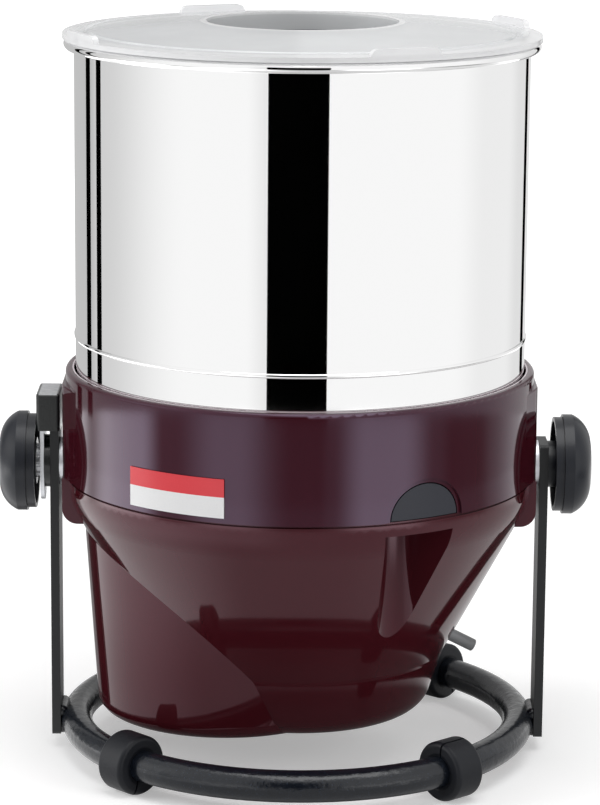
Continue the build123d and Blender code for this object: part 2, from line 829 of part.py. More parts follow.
def machine_screws():
    """Socket bolts of the spacers and of the bearing housing."""
    bolts = [socket_bolt(deck_top_z, x, y) for x, y in spacer_places()]
    bolts += [socket_bolt(motor_plate_low_z, x, y, -1) for x, y in spacer_places()]
    reach = (bearing_flange_radius + bearing_radius + bearing_housing_wall) / 2
    length = deck_thick + bearing_flange_thick
    bolt = socket_bolt(deck_low_z - bearing_flange_thick, reach, 0, -1, length)
    return bolts + spread(bolt, bearing_screw_count, bearing_screw_turn)


def make_plate_spacers():
    """The turned spacers between deck and motor plate."""
    spacers = []
    for x, y in spacer_places():
        spacer = rod(spacer_radius, motor_plate_top_z, deck_low_z, x, y)
        for hole in machine_screws():
            if (hole.center() - Vector(x, y, hole.center().Z)).length < overrun:
                spacer -= hole
        spacers.append(spacer)
    return joined(spacers)


def motor_screws():
    """Screws down through the motor plate into the motor's cover."""
    screws = []
    for i in range(motor_screw_count):
        angle = math.radians(motor_azimuth + motor_screw_turn + 360 / motor_screw_count * i)
        reach = motor_radius * motor_screw_ring_share
        screws.append(slotted_screw(motor_plate_top_z, motor_plate_thick + motor_wall,
                                    motor_x + reach * math.cos(angle), motor_y + reach * math.sin(angle)))
    return screws


def make_motor_plate():
    """The plate that carries the motor and the foot of the centre post."""
    low, top = motor_plate_low_z, motor_plate_top_z
    body = rod(motor_plate_radius, low, top) + rod(motor_radius + motor_edge, low, top, motor_x, motor_y)
    body -= rod(motor_boss_radius + side_gap, low - overrun, top + overrun, motor_x, motor_y)
    body -= rod(post_radius, low - overrun, top + overrun)
    for hole in machine_screws() + motor_screws():
        body -= hole
    for x, y in pillar_places():
        body -= rod(screw_radius, low - overrun, top + overrun, x, y)
    return body


def make_motor_can():
    """The motor's two-cover can, open inside, with vents in its lower cover."""
    low, top = motor_low_z, motor_plate_low_z
    body = rod(motor_radius, low, top)
    body = fillet(body.edges().filter_by(GeomType.CIRCLE).sort_by(Axis.Z)[0], motor_edge)
    body -= rod(motor_radius - motor_wall, low + motor_wall, top - motor_wall)
    body += rod(motor_boss_radius, top - motor_wall, top + motor_plate_thick)
    body += rod(motor_boss_radius, low, low + motor_boss_height)
    body -= rod(motor_shaft_radius + running_fit, low + motor_wall, top + motor_plate_thick + overrun)
    vent = rod(motor_vent_radius, low - overrun, low + motor_wall + overrun,
               motor_radius * motor_vent_ring_share, 0)
    for hole in spread(vent, motor_vent_count):
        body -= hole
    body = Pos(motor_x, motor_y, 0) * body
    for hole in motor_screws():
        body -= hole
    return body


def make_stator():
    """The laminated stator ring with its winding slots."""
    low = motor_mid_z - stator_height / 2
    body = tube(motor_radius - motor_wall, stator_bore, low, low + stator_height)
    slot = rod(stator_slot_radius, low - overrun, low + stator_height + overrun,
               (stator_bore + motor_radius - motor_wall) / 2, 0)
    for hole in spread(slot, stator_slots):
        body -= hole
    return Pos(motor_x, motor_y, 0) * body


def make_capacitor():
    """The run capacitor, standing on the housing's floor."""
    low = housing_low_z + housing_wall
    body = rod(capacitor_radius, low, low + capacitor_height)
    body = fillet(body.edges().filter_by(GeomType.CIRCLE).sort_by(Axis.Z)[-1], capacitor_edge)
    return Pos(capacitor_x, capacitor_y, 0) * body


def belt_outline(grow):
    """The belt's loop round both pulleys, grown from the pulleys' own radii."""
    big = drum_pulley_radius + grow
    small = motor_pulley_radius + grow
    lean = math.acos((big - small) / motor_reach)
    corners = []
    for sign in (1, -1):
        angle = motor_turn + sign * lean
        corners.append((big * math.cos(angle), big * math.sin(angle),
                        motor_x + small * math.cos(angle), motor_y + small * math.sin(angle)))
    (ax, ay, bx, by), (cx, cy, dx, dy) = corners
    web = make_face(Polyline((ax, ay), (bx, by), (dx, dy), (cx, cy), close=True))
    return web + Circle(big) + Pos(motor_x, motor_y) * Circle(small)


def make_drive_belt():
    """The flat belt from the motor's pulley to the drum's."""
    face = belt_outline(soft_gap + belt_thick) - belt_outline(soft_gap)
    return Pos(0, 0, pulley_mid_z - belt_width / 2) * extrude(face, belt_width)


def make_bearing_housing():
    """The flanged housing that hangs under the deck and holds both bearings of the drum."""
    low = bearing_low_z - bearing_lip
    outer = bearing_radius + bearing_housing_wall
    body = rod(outer, low, deck_low_z)
    body += rod(bearing_flange_radius, deck_low_z - bearing_flange_thick, deck_low_z)
    height = deck_low_z - bearing_flange_thick - bearing_low_z
    rib = make_face(Polyline(
        (outer - overrun, bearing_low_z + height / 3), (outer - overrun, deck_low_z - overrun),
        (bearing_flange_radius - overrun, deck_low_z - bearing_flange_thick), close=True))
    rib = extrude(Plane.XZ * rib, bearing_rib_thick / 2, both=True)
    for piece in spread(rib, bearing_rib_count):
        body += piece
    body -= rod(bearing_radius, low - overrun, bearing_low_z + bearing_height)
    body -= rod(bearing_radius - bearing_shoulder, low, deck_low_z)
    body -= rod(bearing_radius, bearing_high_z, deck_low_z + overrun)
    for hole in machine_screws():
        body -= hole
    return body


def make_drum_bearings():
    """Two ball bearings, each with its shield groove."""
    rings = []
    for low in (bearing_low_z, bearing_high_z):
        ring = tube(bearing_radius, sleeve_outer + running_fit, low, low + bearing_height)
        for face_z in (low, low + bearing_height):
            groove = tube(bearing_radius - bearing_land, sleeve_outer + bearing_land,
                          face_z - bearing_groove, face_z + bearing_groove)
            ring -= groove
        rings.append(ring)
    return joined(rings)


def make_centre_post():
    """The fixed post, with its collar, its flat-sided key and its threaded top."""
    body = rod(post_radius, motor_plate_low_z - post_foot_depth, post_key_low_z)
    body += rod(post_collar_radius, motor_plate_top_z, motor_plate_top_z + post_collar_height)
    key = rod(post_radius, post_key_low_z, post_key_high_z)
    key &= block(-post_radius, post_radius, -post_key_across / 2, post_key_across / 2,
                 post_key_low_z, post_key_high_z)
    thread = rod(post_thread_radius, post_key_high_z, post_top_z)
    thread &= block(-post_radius, post_radius, -post_radius, post_radius, post_key_high_z, post_top_z)
    body = body + key + thread
    tip = body.edges().filter_by(GeomType.CIRCLE).sort_by(Axis.Z)[-1]
    return chamfer(tip, (post_radius - post_thread_radius) / 2)


def make_stud(side):
    """The headed stud of one pivot, from the deck's tab to the clamp knob."""
    end_x = stud_end_x(side)
    body = cross_rod(stud_radius, tab_outer_x - tab_thick, end_x, side)
    head = cross_rod(stud_head_radius, tab_outer_x - tab_thick - stud_head_thick,
                     tab_outer_x - tab_thick, side)
    return body + head


def knob_seat_x(side):
    """Where the open end of a knob's skirt lies, away from the middle."""
    if side > 0:
        return bar_outer_x + side_gap + knob_hub_reach
    return lock_x + lock_plate_thick + star_thick + side_gap


def stud_end_x(side):
    """Where a stud ends inside its knob."""
    return knob_seat_x(side) + insert_depth - stud_end_inset


def make_star_washer():
    """The toothed washer between the lock plate and the left knob."""
    inner_x = lock_x + lock_plate_thick + side_gap
    body = cross_rod(star_radius, inner_x, inner_x + star_thick - side_gap, -1)
    body -= cross_rod(stud_radius, inner_x - overrun, inner_x + star_thick + overrun, -1)
    for i in range(star_tooth_count):
        angle = math.radians(360 / star_tooth_count * i)
        notch = cross_rod(star_tooth_depth, inner_x - overrun, inner_x + star_thick + overrun, -1)
        body -= Pos(0, star_radius * math.cos(angle), star_radius * math.sin(angle)) * notch
    return body


def make_pivot_washer(side):
    """The plain washer between a pivot pad and its bar."""
    body = cross_rod(washer_radius, pivot_face_x, pivot_face_x + washer_thick, side)
    return body - cross_rod(stud_radius, pivot_face_x - overrun, bar_outer_x, side)


def make_knob(side):
    """A domed clamp knob with a stepped skirt, hollow underneath round its hub."""
    seat = knob_seat_x(side)
    step = seat + knob_skirt_depth
    end = step + knob_dome_depth
    flat = knob_radius * knob_flat_share
    shoulder = knob_dome_depth * knob_shoulder_share
    outline = Polyline((seat, 0), (seat, knob_skirt_radius), (step, knob_skirt_radius), (step, knob_radius),
                       (step + shoulder, knob_radius))
    bow_x = step + shoulder + (knob_dome_depth - shoulder) * knob_bow_share
    dome = ThreePointArc((step + shoulder, knob_radius), (bow_x, knob_radius * knob_bow_radius_share),
                         (end, flat))
    close_top = Polyline((end, flat), (end, 0), (seat, 0))
    solid_form = revolve(make_face(outline + dome + close_top), Axis.X)
    depth = knob_skirt_depth + shoulder
    hollow = Pos(seat, 0, 0) * (Rot(0, 90, 0) * Cylinder(
        knob_skirt_radius - knob_wall, 2 * depth, align=(Align.CENTER, Align.CENTER, Align.CENTER)))
    body = solid_form - hollow
    reach = knob_hub_reach if side > 0 else knob_left_hub_reach
    hub_length = depth + reach
    hub = Pos(seat - reach, 0, 0) * (Rot(0, 90, 0) * Cylinder(
        knob_hub_radius, hub_length, align=(Align.CENTER, Align.CENTER, Align.MIN)))
    body += hub
    bore = Pos(seat - reach - overrun, 0, 0) * (Rot(0, 90, 0) * Cylinder(
        insert_radius, insert_depth + reach + overrun, align=(Align.CENTER, Align.CENTER, Align.MIN)))
    body = Pos(0, 0, pivot_z) * (body - bore)
    return body if side > 0 else mirror(body, Plane.YZ)


def make_insert(side):
    """The threaded brass insert moulded into a knob's hub."""
    reach = knob_hub_reach if side > 0 else knob_left_hub_reach
    seat = knob_seat_x(side)
    body = cross_rod(insert_radius, seat - reach, seat + insert_depth, side)
    bore = cross_rod(stud_radius + running_fit, seat - reach - overrun, stud_end_x(side) + running_fit, side)
    return body - bore


def make_switch_case():
    """The open case behind the arch, with the rocker's pin."""
    far = ring_inner
    low, top = ring_low_z + side_gap, deck_low_z - ledge_thick - side_gap
    body = block(far - case_depth, far, -case_half_width, case_half_width, low, top)
    body -= block(far - case_depth + case_wall, far + overrun, -case_half_width + case_wall,
                  case_half_width - case_wall, low + case_wall, top - case_wall)
    body -= block(far - case_front_inset, far + overrun, -case_half_width + case_wall,
                  case_half_width - case_wall, low - overrun, top + overrun)
    pin_x, pin_z = rocker_pin_place()
    body += Pos(pin_x, 0, pin_z) * (Rot(90, 0, 0) * Cylinder(rocker_pin_radius, 2 * case_half_width))
    body = around(body, switch_azimuth)
    return body & rod(ring_inner, 0, ring_top_z)


def rocker_pin_place():
    """The radius and the height of the rocker's pin."""
    return ring_radius - rocker_pin_inset, (ring_low_z + arch_top_z) / 2


def make_switch_rocker():
    """The half-moon rocker of the switch, with two lugs round its pin."""
    face_radius = ring_radius - arch_recess
    body = arch_prism(arch_half_width - rocker_gap, arch_top_z - rocker_gap,
                      face_radius - 4 * rocker_thick, ring_radius)
    body &= tube(face_radius, face_radius - rocker_thick, ring_low_z + rocker_gap, arch_top_z)
    pin_x, pin_z = rocker_pin_place()
    lugs = []
    for sign in (-1, 1):
        lug = Pos(pin_x, sign * rocker_lug_half, pin_z) * (
            Rot(90, 0, 0) * Cylinder(rocker_lug_radius, rocker_lug_thick))
        bridge = block(pin_x, pin_x + rocker_lug_radius, sign * rocker_lug_half - rocker_lug_thick / 2,
                       sign * rocker_lug_half + rocker_lug_thick / 2,
                       pin_z - rocker_lug_radius, pin_z + rocker_lug_radius)
        lugs.append(around(lug + bridge, switch_azimuth) & rod(face_radius - rocker_thick / 2, 0, ring_top_z))
    for lug in lugs:
        body += lug
    pin = Pos(pin_x, 0, pin_z) * (Rot(90, 0, 0) * Cylinder(rocker_pin_radius + running_fit,
                                                           2 * case_half_width))
    return body - around(pin, switch_azimuth)


def make_label_plate():
    """The thin blank plate on the ring's front left."""
    middle = (label_from_azimuth + label_to_azimuth) / 2
    half = (label_to_azimuth - label_from_azimuth) / 2
    inner = ring_radius + soft_gap
    body = tube(inner + label_thick, inner, label_low_z, label_top_z)
    reach = ring_radius + 2 * overrun
    side = reach * math.tan(math.radians(half))
    wedge = extrude(make_face(Polyline((0, 0), (reach, side), (reach, -side), close=True)), label_top_z)
    return body & around(wedge, middle)


# Rotor

def make_motor_shaft():
    """The motor's shaft."""
    return rod(motor_shaft_radius, motor_low_z + motor_wall, pulley_low_z + pulley_height, motor_x, motor_y)


def make_rotor_core():
    """The squirrel-cage rotor with its end rings."""
    low = motor_mid_z - stator_height / 2
    body = tube(stator_bore - rotor_gap, motor_shaft_radius,
                low - rotor_end_length, low + stator_height + rotor_end_length)
    return Pos(motor_x, motor_y, 0) * body


def make_cooling_fan():
    """The fan under the rotor: a hub and straight blades."""
    low = motor_low_z + motor_boss_height + fan_gap
    body = rod(fan_hub_radius, low, low + fan_height)
    blade = block(fan_hub_radius - overrun, fan_radius, -fan_blade_thick / 2, fan_blade_thick / 2,
                  low, low + fan_height)
    for piece in spread(blade, fan_blades):
        body += piece
    body -= rod(motor_shaft_radius, low - overrun, low + fan_height + overrun)
    return Pos(motor_x, motor_y, 0) * body


def make_motor_pulley():
    """The small pulley, flanged on both sides."""
    low, top = pulley_low_z, pulley_low_z + pulley_height
    body = rod(motor_pulley_radius, low, top)
    body += rod(motor_pulley_radius + pulley_flange, low, low + pulley_flange_thick)
    body += rod(motor_pulley_radius + pulley_flange, top - pulley_flange_thick, top)
    return Pos(motor_x, motor_y, 0) * (body - rod(motor_shaft_radius, low - overrun, top + overrun))


# Drum

def make_drum_pulley():
    """The large pulley under the drum: rim, holed web and hub."""
    low, top = pulley_low_z, pulley_low_z + pulley_height
    mid = pulley_mid_z
    body = tube(drum_pulley_radius, drum_pulley_radius - pulley_rim, low, top)
    body += tube(drum_pulley_radius - pulley_rim + overrun, sleeve_outer, mid - pulley_web / 2,
                 mid + pulley_web / 2)
    body += tube(hub_boss_radius, sleeve_outer, low, top)
    hole_reach = (drum_pulley_radius - pulley_rim + hub_boss_radius) / 2
    hole = rod(pulley_hole_radius, low, top, hole_reach, 0)
    for cut in spread(hole, pulley_hole_count):
        body -= cut
    return body


def make_drum_shell():
    """The spun drum: floor, wall, raised seam and rolled bead."""
    floor, rim = drum_floor_z, drum_rim_z - bead_radius
    body = rod(drum_radius, floor, rim)
    body = fillet(body.edges().filter_by(GeomType.CIRCLE).sort_by(Axis.Z)[0], drum_corner)
    body += tube(drum_radius + seam_proud, drum_inner, seam_z - seam_height / 2, seam_z + seam_height / 2)
    hollow = rod(drum_inner, floor + drum_wall, drum_rim_z + overrun)
    hollow = fillet(hollow.edges().filter_by(GeomType.CIRCLE).sort_by(Axis.Z)[0], drum_corner - drum_wall)
    bead_center = drum_radius + bead_reach - bead_radius
    body += tube(bead_center, drum_inner, drum_rim_z - drum_wall, drum_rim_z)
    body += Pos(0, 0, rim) * Torus(bead_center, bead_radius)
    body -= hollow
    return body - rod(sleeve_outer, floor - overrun, floor + 2 * drum_wall)


def make_drum_hub():
    """The flange that the drum's floor is fixed to."""
    body = rod(hub_radius, drum_floor_z - hub_thick, drum_floor_z)
    body += rod(hub_boss_radius, drum_floor_z - hub_thick - hub_boss_thick, drum_floor_z - hub_thick)
    return body - rod(sleeve_outer, deck_low_z, drum_floor_z + overrun)


def make_spindle_sleeve():
    """The hollow spindle that turns round the post and carries pulley and drum."""
    return tube(sleeve_outer, sleeve_inner, sleeve_low_z, stone_floor_z + riser_flange)


def make_riser():
    """The tube that keeps the batter off the spindle, with its foot flange and drawn-in top."""
    top = riser_top_z
    neck = sleeve_outer + riser_wall
    return turned([
        (sleeve_outer, stone_floor_z), (riser_radius + riser_flange, stone_floor_z),
        (riser_radius + riser_flange, stone_floor_z + riser_wall),
        (riser_radius, stone_floor_z + 2 * riser_wall),
        (riser_radius, top - riser_radius), (neck, top),
        (neck - riser_wall, top), (riser_inner, top - riser_radius),
        (riser_inner, stone_floor_z + 2 * riser_wall),
        (sleeve_outer, stone_floor_z + riser_wall),
    ])


def make_base_stone():
    """The granite base stone, eased where it meets the drum's corner."""
    outer = drum_inner - stone_gap
    bore = riser_radius + riser_flange + stone_bore_gap
    return turned([
        (bore, stone_floor_z), (outer - stone_chamfer, stone_floor_z),
        (outer, stone_floor_z + stone_chamfer), (outer, stone_top_z - stone_edge),
        (outer - stone_edge, stone_top_z), (bore + stone_edge, stone_top_z),
        (bore, stone_top_z - stone_edge),
    ])


# Stone holder, rollers and tension

def slanted(body, side):
    """Lays a body made along +Z onto a roller's axis, which starts at the apex on the stone."""
    tilt = 90 - math.degrees(roller_slant)
    lying = Pos(0, 0, apex_z) * (Rot(0, tilt, 0) * body)
    return lying if side > 0 else mirror(lying, Plane.YZ)


def make_axle(side):
    """One slanted axle with its inner collar and outer head."""
    start = axle_start / math.cos(roller_slant)
    body = rod(axle_radius, start, roller_far + axle_end_gap)
    body += rod(axle_collar_radius, axle_collar_near, roller_near - axle_end_gap)
    body += rod(axle_head_radius, roller_far + axle_end_gap, roller_far + axle_end_gap + axle_head_thick)
    rim = body.edges().filter_by(GeomType.CIRCLE).group_by(Axis.Z)[-1]
    return slanted(chamfer(rim, axle_head_thick / 4), side)


def make_roller(side):
    """A conical granite roller whose apex lies on the drum's axis."""
    spread_share = math.tan(roller_slant)
    outline = [
        (axle_radius + bush_wall, roller_near), (roller_near * spread_share - roller_ease / 2, roller_near),
        ((roller_near + roller_ease) * spread_share, roller_near + roller_ease),
        ((roller_far - roller_ease) * spread_share, roller_far - roller_ease),
        ((roller_far - roller_ease) * spread_share - roller_ease / 2, roller_far),
        (axle_radius + bush_wall, roller_far),
    ]
    return slanted(turned(outline), side)


def make_bush(side):
    """The plain bush in a roller's bore."""
    return slanted(tube(axle_radius + bush_wall, axle_radius + running_fit, roller_near, roller_far), side)


def make_stone_holder():
    """The holder's hub over the riser, keyed to the post at its top."""
    body = rod(holder_radius, holder_low_z, holder_top_z)
    rims = body.edges().filter_by(GeomType.CIRCLE)
    body = fillet(rims.sort_by(Axis.Z)[0], holder_edge)
    for side in (-1, 1):
        root = rod(axle_collar_radius + holder_root_wall, 0, axle_collar_near)
        root = slanted(root, side) & tube(2 * holder_radius, holder_bore, holder_low_z, holder_top_z)
        body += root
    body -= rod(holder_bore, holder_low_z - overrun, holder_block_z)
    key = rod(post_radius + key_gap, holder_block_z - overrun, holder_top_z + overrun)
    key &= block(-holder_radius, holder_radius, -post_key_across / 2 - key_gap,
                 post_key_across / 2 + key_gap, holder_block_z - overrun, holder_top_z + overrun)
    body -= key
    for side in (-1, 1):
        body -= make_axle(side)
    return body


def make_scraper_arm():
    """The sprung steel arm on top of the holder, bent down to carry the blade."""
    body = rod(holder_radius - holder_edge, holder_top_z, arm_top_z)
    body += block(-arm_width / 2, arm_width / 2, 0, arm_reach, holder_top_z, arm_top_z)
    body += block(-arm_width / 2, arm_width / 2, arm_reach - arm_thick, arm_reach, arm_drop_z, arm_top_z)
    key = rod(post_radius + key_gap, holder_top_z - overrun, arm_top_z + overrun)
    key &= block(-holder_radius, holder_radius, -post_key_across / 2 - key_gap,
                 post_key_across / 2 + key_gap, holder_top_z - overrun, arm_top_z + overrun)
    return body - key


def make_scraper_blade():
    """The plastic blade that wipes the drum's wall."""
    body = block(-blade_width / 2, blade_width / 2, arm_reach, drum_radius, blade_low_z, blade_top_z)
    return body & rod(blade_outer_reach, blade_low_z, blade_top_z)


def spring_point(turns):
    """A point and a heading on the spring's centre line, after so many turns."""
    low = arm_top_z + spring_wire_radius
    high = tension_knob_low_z - spring_wire_radius
    rise = (high - low) / spring_turns
    angle = 2 * math.pi * turns
    place = Vector(spring_radius * math.cos(angle), spring_radius * math.sin(angle), low + rise * turns)
    heading = Vector(-2 * math.pi * spring_radius * math.sin(angle),
                     2 * math.pi * spring_radius * math.cos(angle), rise)
    return place, heading.normalized()


def make_tension_spring():
    """The coil spring between the holder and the tension knob, on pairs of tangent arcs."""
    edges = []
    steps = spring_turns * spring_steps_per_turn
    for i in range(steps):
        start, out = spring_point(i / spring_steps_per_turn)
        end, back = spring_point((i + 1) / spring_steps_per_turn)
        chord, both = end - start, out + back
        bend = 2 * (1 - out.dot(back))
        reach = (-chord.dot(both) + math.sqrt(chord.dot(both) ** 2 + bend * chord.dot(chord))) / bend
        first, second = start + out * reach, end - back * reach
        middle = (first + second) * 0.5
        edges.append(Edge.make_tangent_arc(start, out, middle))
        edges.append(Edge.make_tangent_arc(middle, (second - first).normalized(), end))
    path = Wire(edges)
    start, out = spring_point(0)
    section = Plane(origin=start, z_dir=out) * Circle(spring_wire_radius)
    return sweep(section, path)


def spring_gap():
    """The least gap between neighbouring turns of the spring."""
    rows = [spring_point(i / spring_samples)[0] for i in range(spring_turns * spring_samples + 1)]
    least = min((a - b).length for i, a in enumerate(rows) for b in rows[i + spring_samples // 2:])
    return least - 2 * spring_wire_radius


def make_tension_knob():
    """The fluted knob that sets the pressure on the stones."""
    low, top = tension_knob_low_z, tension_knob_top_z
    body = rod(tension_knob_radius, low, top)
    flute = rod(tension_grip_radius, low + tension_edge * 2, top + overrun,
                tension_knob_radius + tension_grip_radius / 3, 0)
    for cut in spread(flute, tension_grip_count):
        body -= cut
    body -= rod(post_thread_radius + running_fit, low - overrun, top + overrun)
    return body


# Lid

def make_lid():
    """The clear lid: shallow cone, open middle with a short skirt, edge groove, spigot and lugs."""
    seat = lid_seat_z
    edge_top = seat + lid_edge_height
    rise_share = (lid_hole_top_z - edge_top) / (lid_radius - lid_hole_radius)
    spigot_outer = drum_inner - lid_spigot_gap
    spigot_inner = spigot_outer - lid_spigot_wall

    def top_z(radius):
        return edge_top + (lid_radius - radius) * rise_share

    groove_in = lid_groove_radius - lid_groove_width
    hole_in, hole_out = lid_hole_radius - lid_skirt_thick, lid_hole_radius
    body = turned([
        (spigot_outer, seat), (lid_radius, seat), (lid_radius, edge_top),
        (lid_groove_radius, top_z(lid_groove_radius)),
        (lid_groove_radius - lid_groove_depth, top_z(lid_groove_radius) - lid_groove_depth),
        (groove_in + lid_groove_depth, top_z(groove_in) - lid_groove_depth),
        (groove_in, top_z(groove_in)), (hole_out, lid_hole_top_z), (hole_in, lid_hole_top_z),
        (hole_in, lid_hole_top_z - lid_skirt_height), (hole_out, lid_hole_top_z - lid_skirt_height),
        (hole_out, lid_hole_top_z - lid_wall), (spigot_inner, top_z(spigot_inner) - lid_wall),
        (spigot_inner, lid_spigot_low_z), (spigot_outer, lid_spigot_low_z),
    ])
    band = tube(lid_radius, lid_radius - lid_lug_thick, seat, lid_lug_top_z)
    wide = block(0, lid_radius, -lid_lug_width / 2, lid_lug_width / 2, seat, lid_lug_top_z)
    wide = fillet(wide.edges().filter_by(Axis.X).group_by(Axis.Z)[-1], lid_lug_round)
    for azimuth in lid_lug_azimuths:
        body += band & around(wide, azimuth)
    return body


# Assembly

uprights = {-1: make_upright(-1, bar_top_left_z), 1: make_upright(1, bar_top_right_z)}
nodes = {
    "stand_ring": make_stand_ring(),
    "upright_left": uprights[-1],
    "upright_right": uprights[1],
    "weld_beads": make_weld_beads(uprights),
    "upright_cap": make_upright_cap(),
    "lock_plate": make_lock_plate(),
    "pivot_disc": make_pivot_disc(),
    "body_ring": make_body_ring(),
    "lower_housing": make_lower_housing(),
    "deck_plate": make_deck_plate(),
    "deck_screws": joined(deck_screws()),
    "machine_screws": joined(machine_screws()),
    "motor_screws": joined(motor_screws()),
    "housing_screws": joined([
        slotted_screw(housing_screw_z, motor_plate_top_z - housing_screw_z, x, y, -1)
        for x, y in pillar_places()]),
    "pivot_studs": joined([make_stud(-1), make_stud(1)]),
    "pivot_washers": joined([make_pivot_washer(-1), make_pivot_washer(1)]),
    "toothed_washer": make_star_washer(),
    "centre_post": make_centre_post(),
    "bearing_housing": make_bearing_housing(),
    "drum_bearings": make_drum_bearings(),
    "motor_plate": make_motor_plate(),
    "plate_spacers": make_plate_spacers(),
    "motor_can": make_motor_can(),
    "motor_stator": make_stator(),
    "capacitor": make_capacitor(),
    "drive_belt": make_drive_belt(),
    "switch_case": make_switch_case(),
    "switch_rocker": make_switch_rocker(),
    "cord_gland": make_cord_gland(),
    "label_plate": make_label_plate(),
    "motor_shaft": make_motor_shaft(),
    "rotor_core": make_rotor_core(),
    "cooling_fan": make_cooling_fan(),
    "motor_pulley": make_motor_pulley(),
    "drum_pulley": make_drum_pulley(),
    "drum_shell": make_drum_shell(),
    "drum_hub": make_drum_hub(),
    "spindle_sleeve": make_spindle_sleeve(),
    "riser_tube": make_riser(),
    "base_stone": make_base_stone(),
    "stone_holder": make_stone_holder(),
    "roller_axles": joined([make_axle(-1), make_axle(1)]),
    "roller_left": make_roller(-1),
    "roller_right": make_roller(1),
    "bush_left": make_bush(-1),
    "bush_right": make_bush(1),
    "scraper_arm": make_scraper_arm(),
    "scraper_blade": make_scraper_blade(),
    "tension_spring": make_tension_spring(),
    "tension_knob": make_tension_knob(),
    "knob_left": make_knob(-1),
    "knob_right": make_knob(1),
    "insert_left": make_insert(-1),
    "insert_right": make_insert(1),
    "lid": make_lid(),
}
for place, azimuth in foot_azimuths.items():
    nodes["foot_" + place] = make_foot(azimuth, slit_azimuths[place])

print("least gap of the spring to itself", round(spring_gap(), 2))
for name, body in nodes.items():
    export_step(body, "parts/" + name + ".step")
print(len(nodes), "nodes written")
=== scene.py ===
# %% [markdown]
# # A tilting wet grinder, dressed
# The shape of every working part comes from CAD. This lesson loads those parts as a
# fixed frame and gives them what CAD leaves out: finishes, a drum smooth enough to be a
# mirror, a floor, lamps and a camera. The frame is loaded first, because each later
# step measures itself on it.

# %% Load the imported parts
import json
import math

import bmesh
import bpy
from mathutils import Matrix, Vector


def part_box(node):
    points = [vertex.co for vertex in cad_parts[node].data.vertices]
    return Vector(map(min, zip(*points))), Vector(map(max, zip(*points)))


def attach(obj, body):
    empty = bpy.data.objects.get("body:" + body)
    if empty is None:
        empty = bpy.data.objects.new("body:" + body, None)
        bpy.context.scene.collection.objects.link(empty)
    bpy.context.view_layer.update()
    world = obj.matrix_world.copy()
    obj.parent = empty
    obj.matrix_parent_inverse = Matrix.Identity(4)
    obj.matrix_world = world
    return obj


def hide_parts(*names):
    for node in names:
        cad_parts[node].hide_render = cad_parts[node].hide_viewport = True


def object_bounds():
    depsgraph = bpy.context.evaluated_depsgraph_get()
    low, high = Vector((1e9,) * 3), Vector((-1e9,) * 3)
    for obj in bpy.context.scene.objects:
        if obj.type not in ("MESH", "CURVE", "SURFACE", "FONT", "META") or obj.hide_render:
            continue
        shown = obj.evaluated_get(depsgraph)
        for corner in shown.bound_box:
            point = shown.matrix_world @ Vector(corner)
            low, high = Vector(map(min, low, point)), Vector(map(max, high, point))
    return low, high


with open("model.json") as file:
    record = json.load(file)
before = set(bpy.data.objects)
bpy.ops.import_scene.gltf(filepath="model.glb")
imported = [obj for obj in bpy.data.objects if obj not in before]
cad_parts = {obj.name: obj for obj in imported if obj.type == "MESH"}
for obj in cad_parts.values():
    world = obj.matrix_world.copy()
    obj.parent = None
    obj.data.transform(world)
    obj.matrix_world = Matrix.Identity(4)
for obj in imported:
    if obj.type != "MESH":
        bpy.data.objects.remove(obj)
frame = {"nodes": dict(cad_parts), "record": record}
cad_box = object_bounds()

nodes = frame["nodes"]
sides = [round(1000 * side) for side in cad_box[1] - cad_box[0]]
print("parts from CAD:", len(nodes), "size in mm:", sides)

# %% [markdown]
# ## The camera
# The product stood on a table and was photographed from a little above, with a long
# lens from about a metre and a half, so its upright sides stay almost parallel. The
# camera could be aimed with a Track To constraint, but a plain rotation made from a
# heading, a downward angle and a small roll says exactly what was fitted.

# %% Place the camera
eye = Vector((-0.0078, -1.6433, 0.5353))
heading, down, roll = (math.radians(a) for a in (0.277, 12.092, 0.467))
view = bpy.data.cameras.new("camera")
view.sensor_width = 36.0
view.lens = 145.86
view.clip_start, view.clip_end = 0.05, 60.0
camera = bpy.data.objects.new("camera", view)
bpy.context.scene.collection.objects.link(camera)
turn = Matrix.Rotation(-heading, 4, "Z") @ Matrix.Rotation(math.pi / 2 - down, 4, "X")
camera.matrix_world = Matrix.Translation(eye) @ turn @ Matrix.Rotation(roll, 4, "Z")
bpy.context.scene.camera = camera
bpy.context.scene.view_settings.view_transform = "Standard"
print("camera height in mm:", round(1000 * eye.z), "lens in mm:", view.lens)

# %% [markdown]
# ## A small language for finishes
# A finish is a tree of shader nodes. Wiring each node by hand is long and hides the
# idea, so a wrapped socket overloads plus, minus, times and the rest: the expression
# `0.3 + 0.1 * grain` then adds its own Math nodes. Everything else goes through one
# method that takes a node's type, its settings and what its sockets hold.

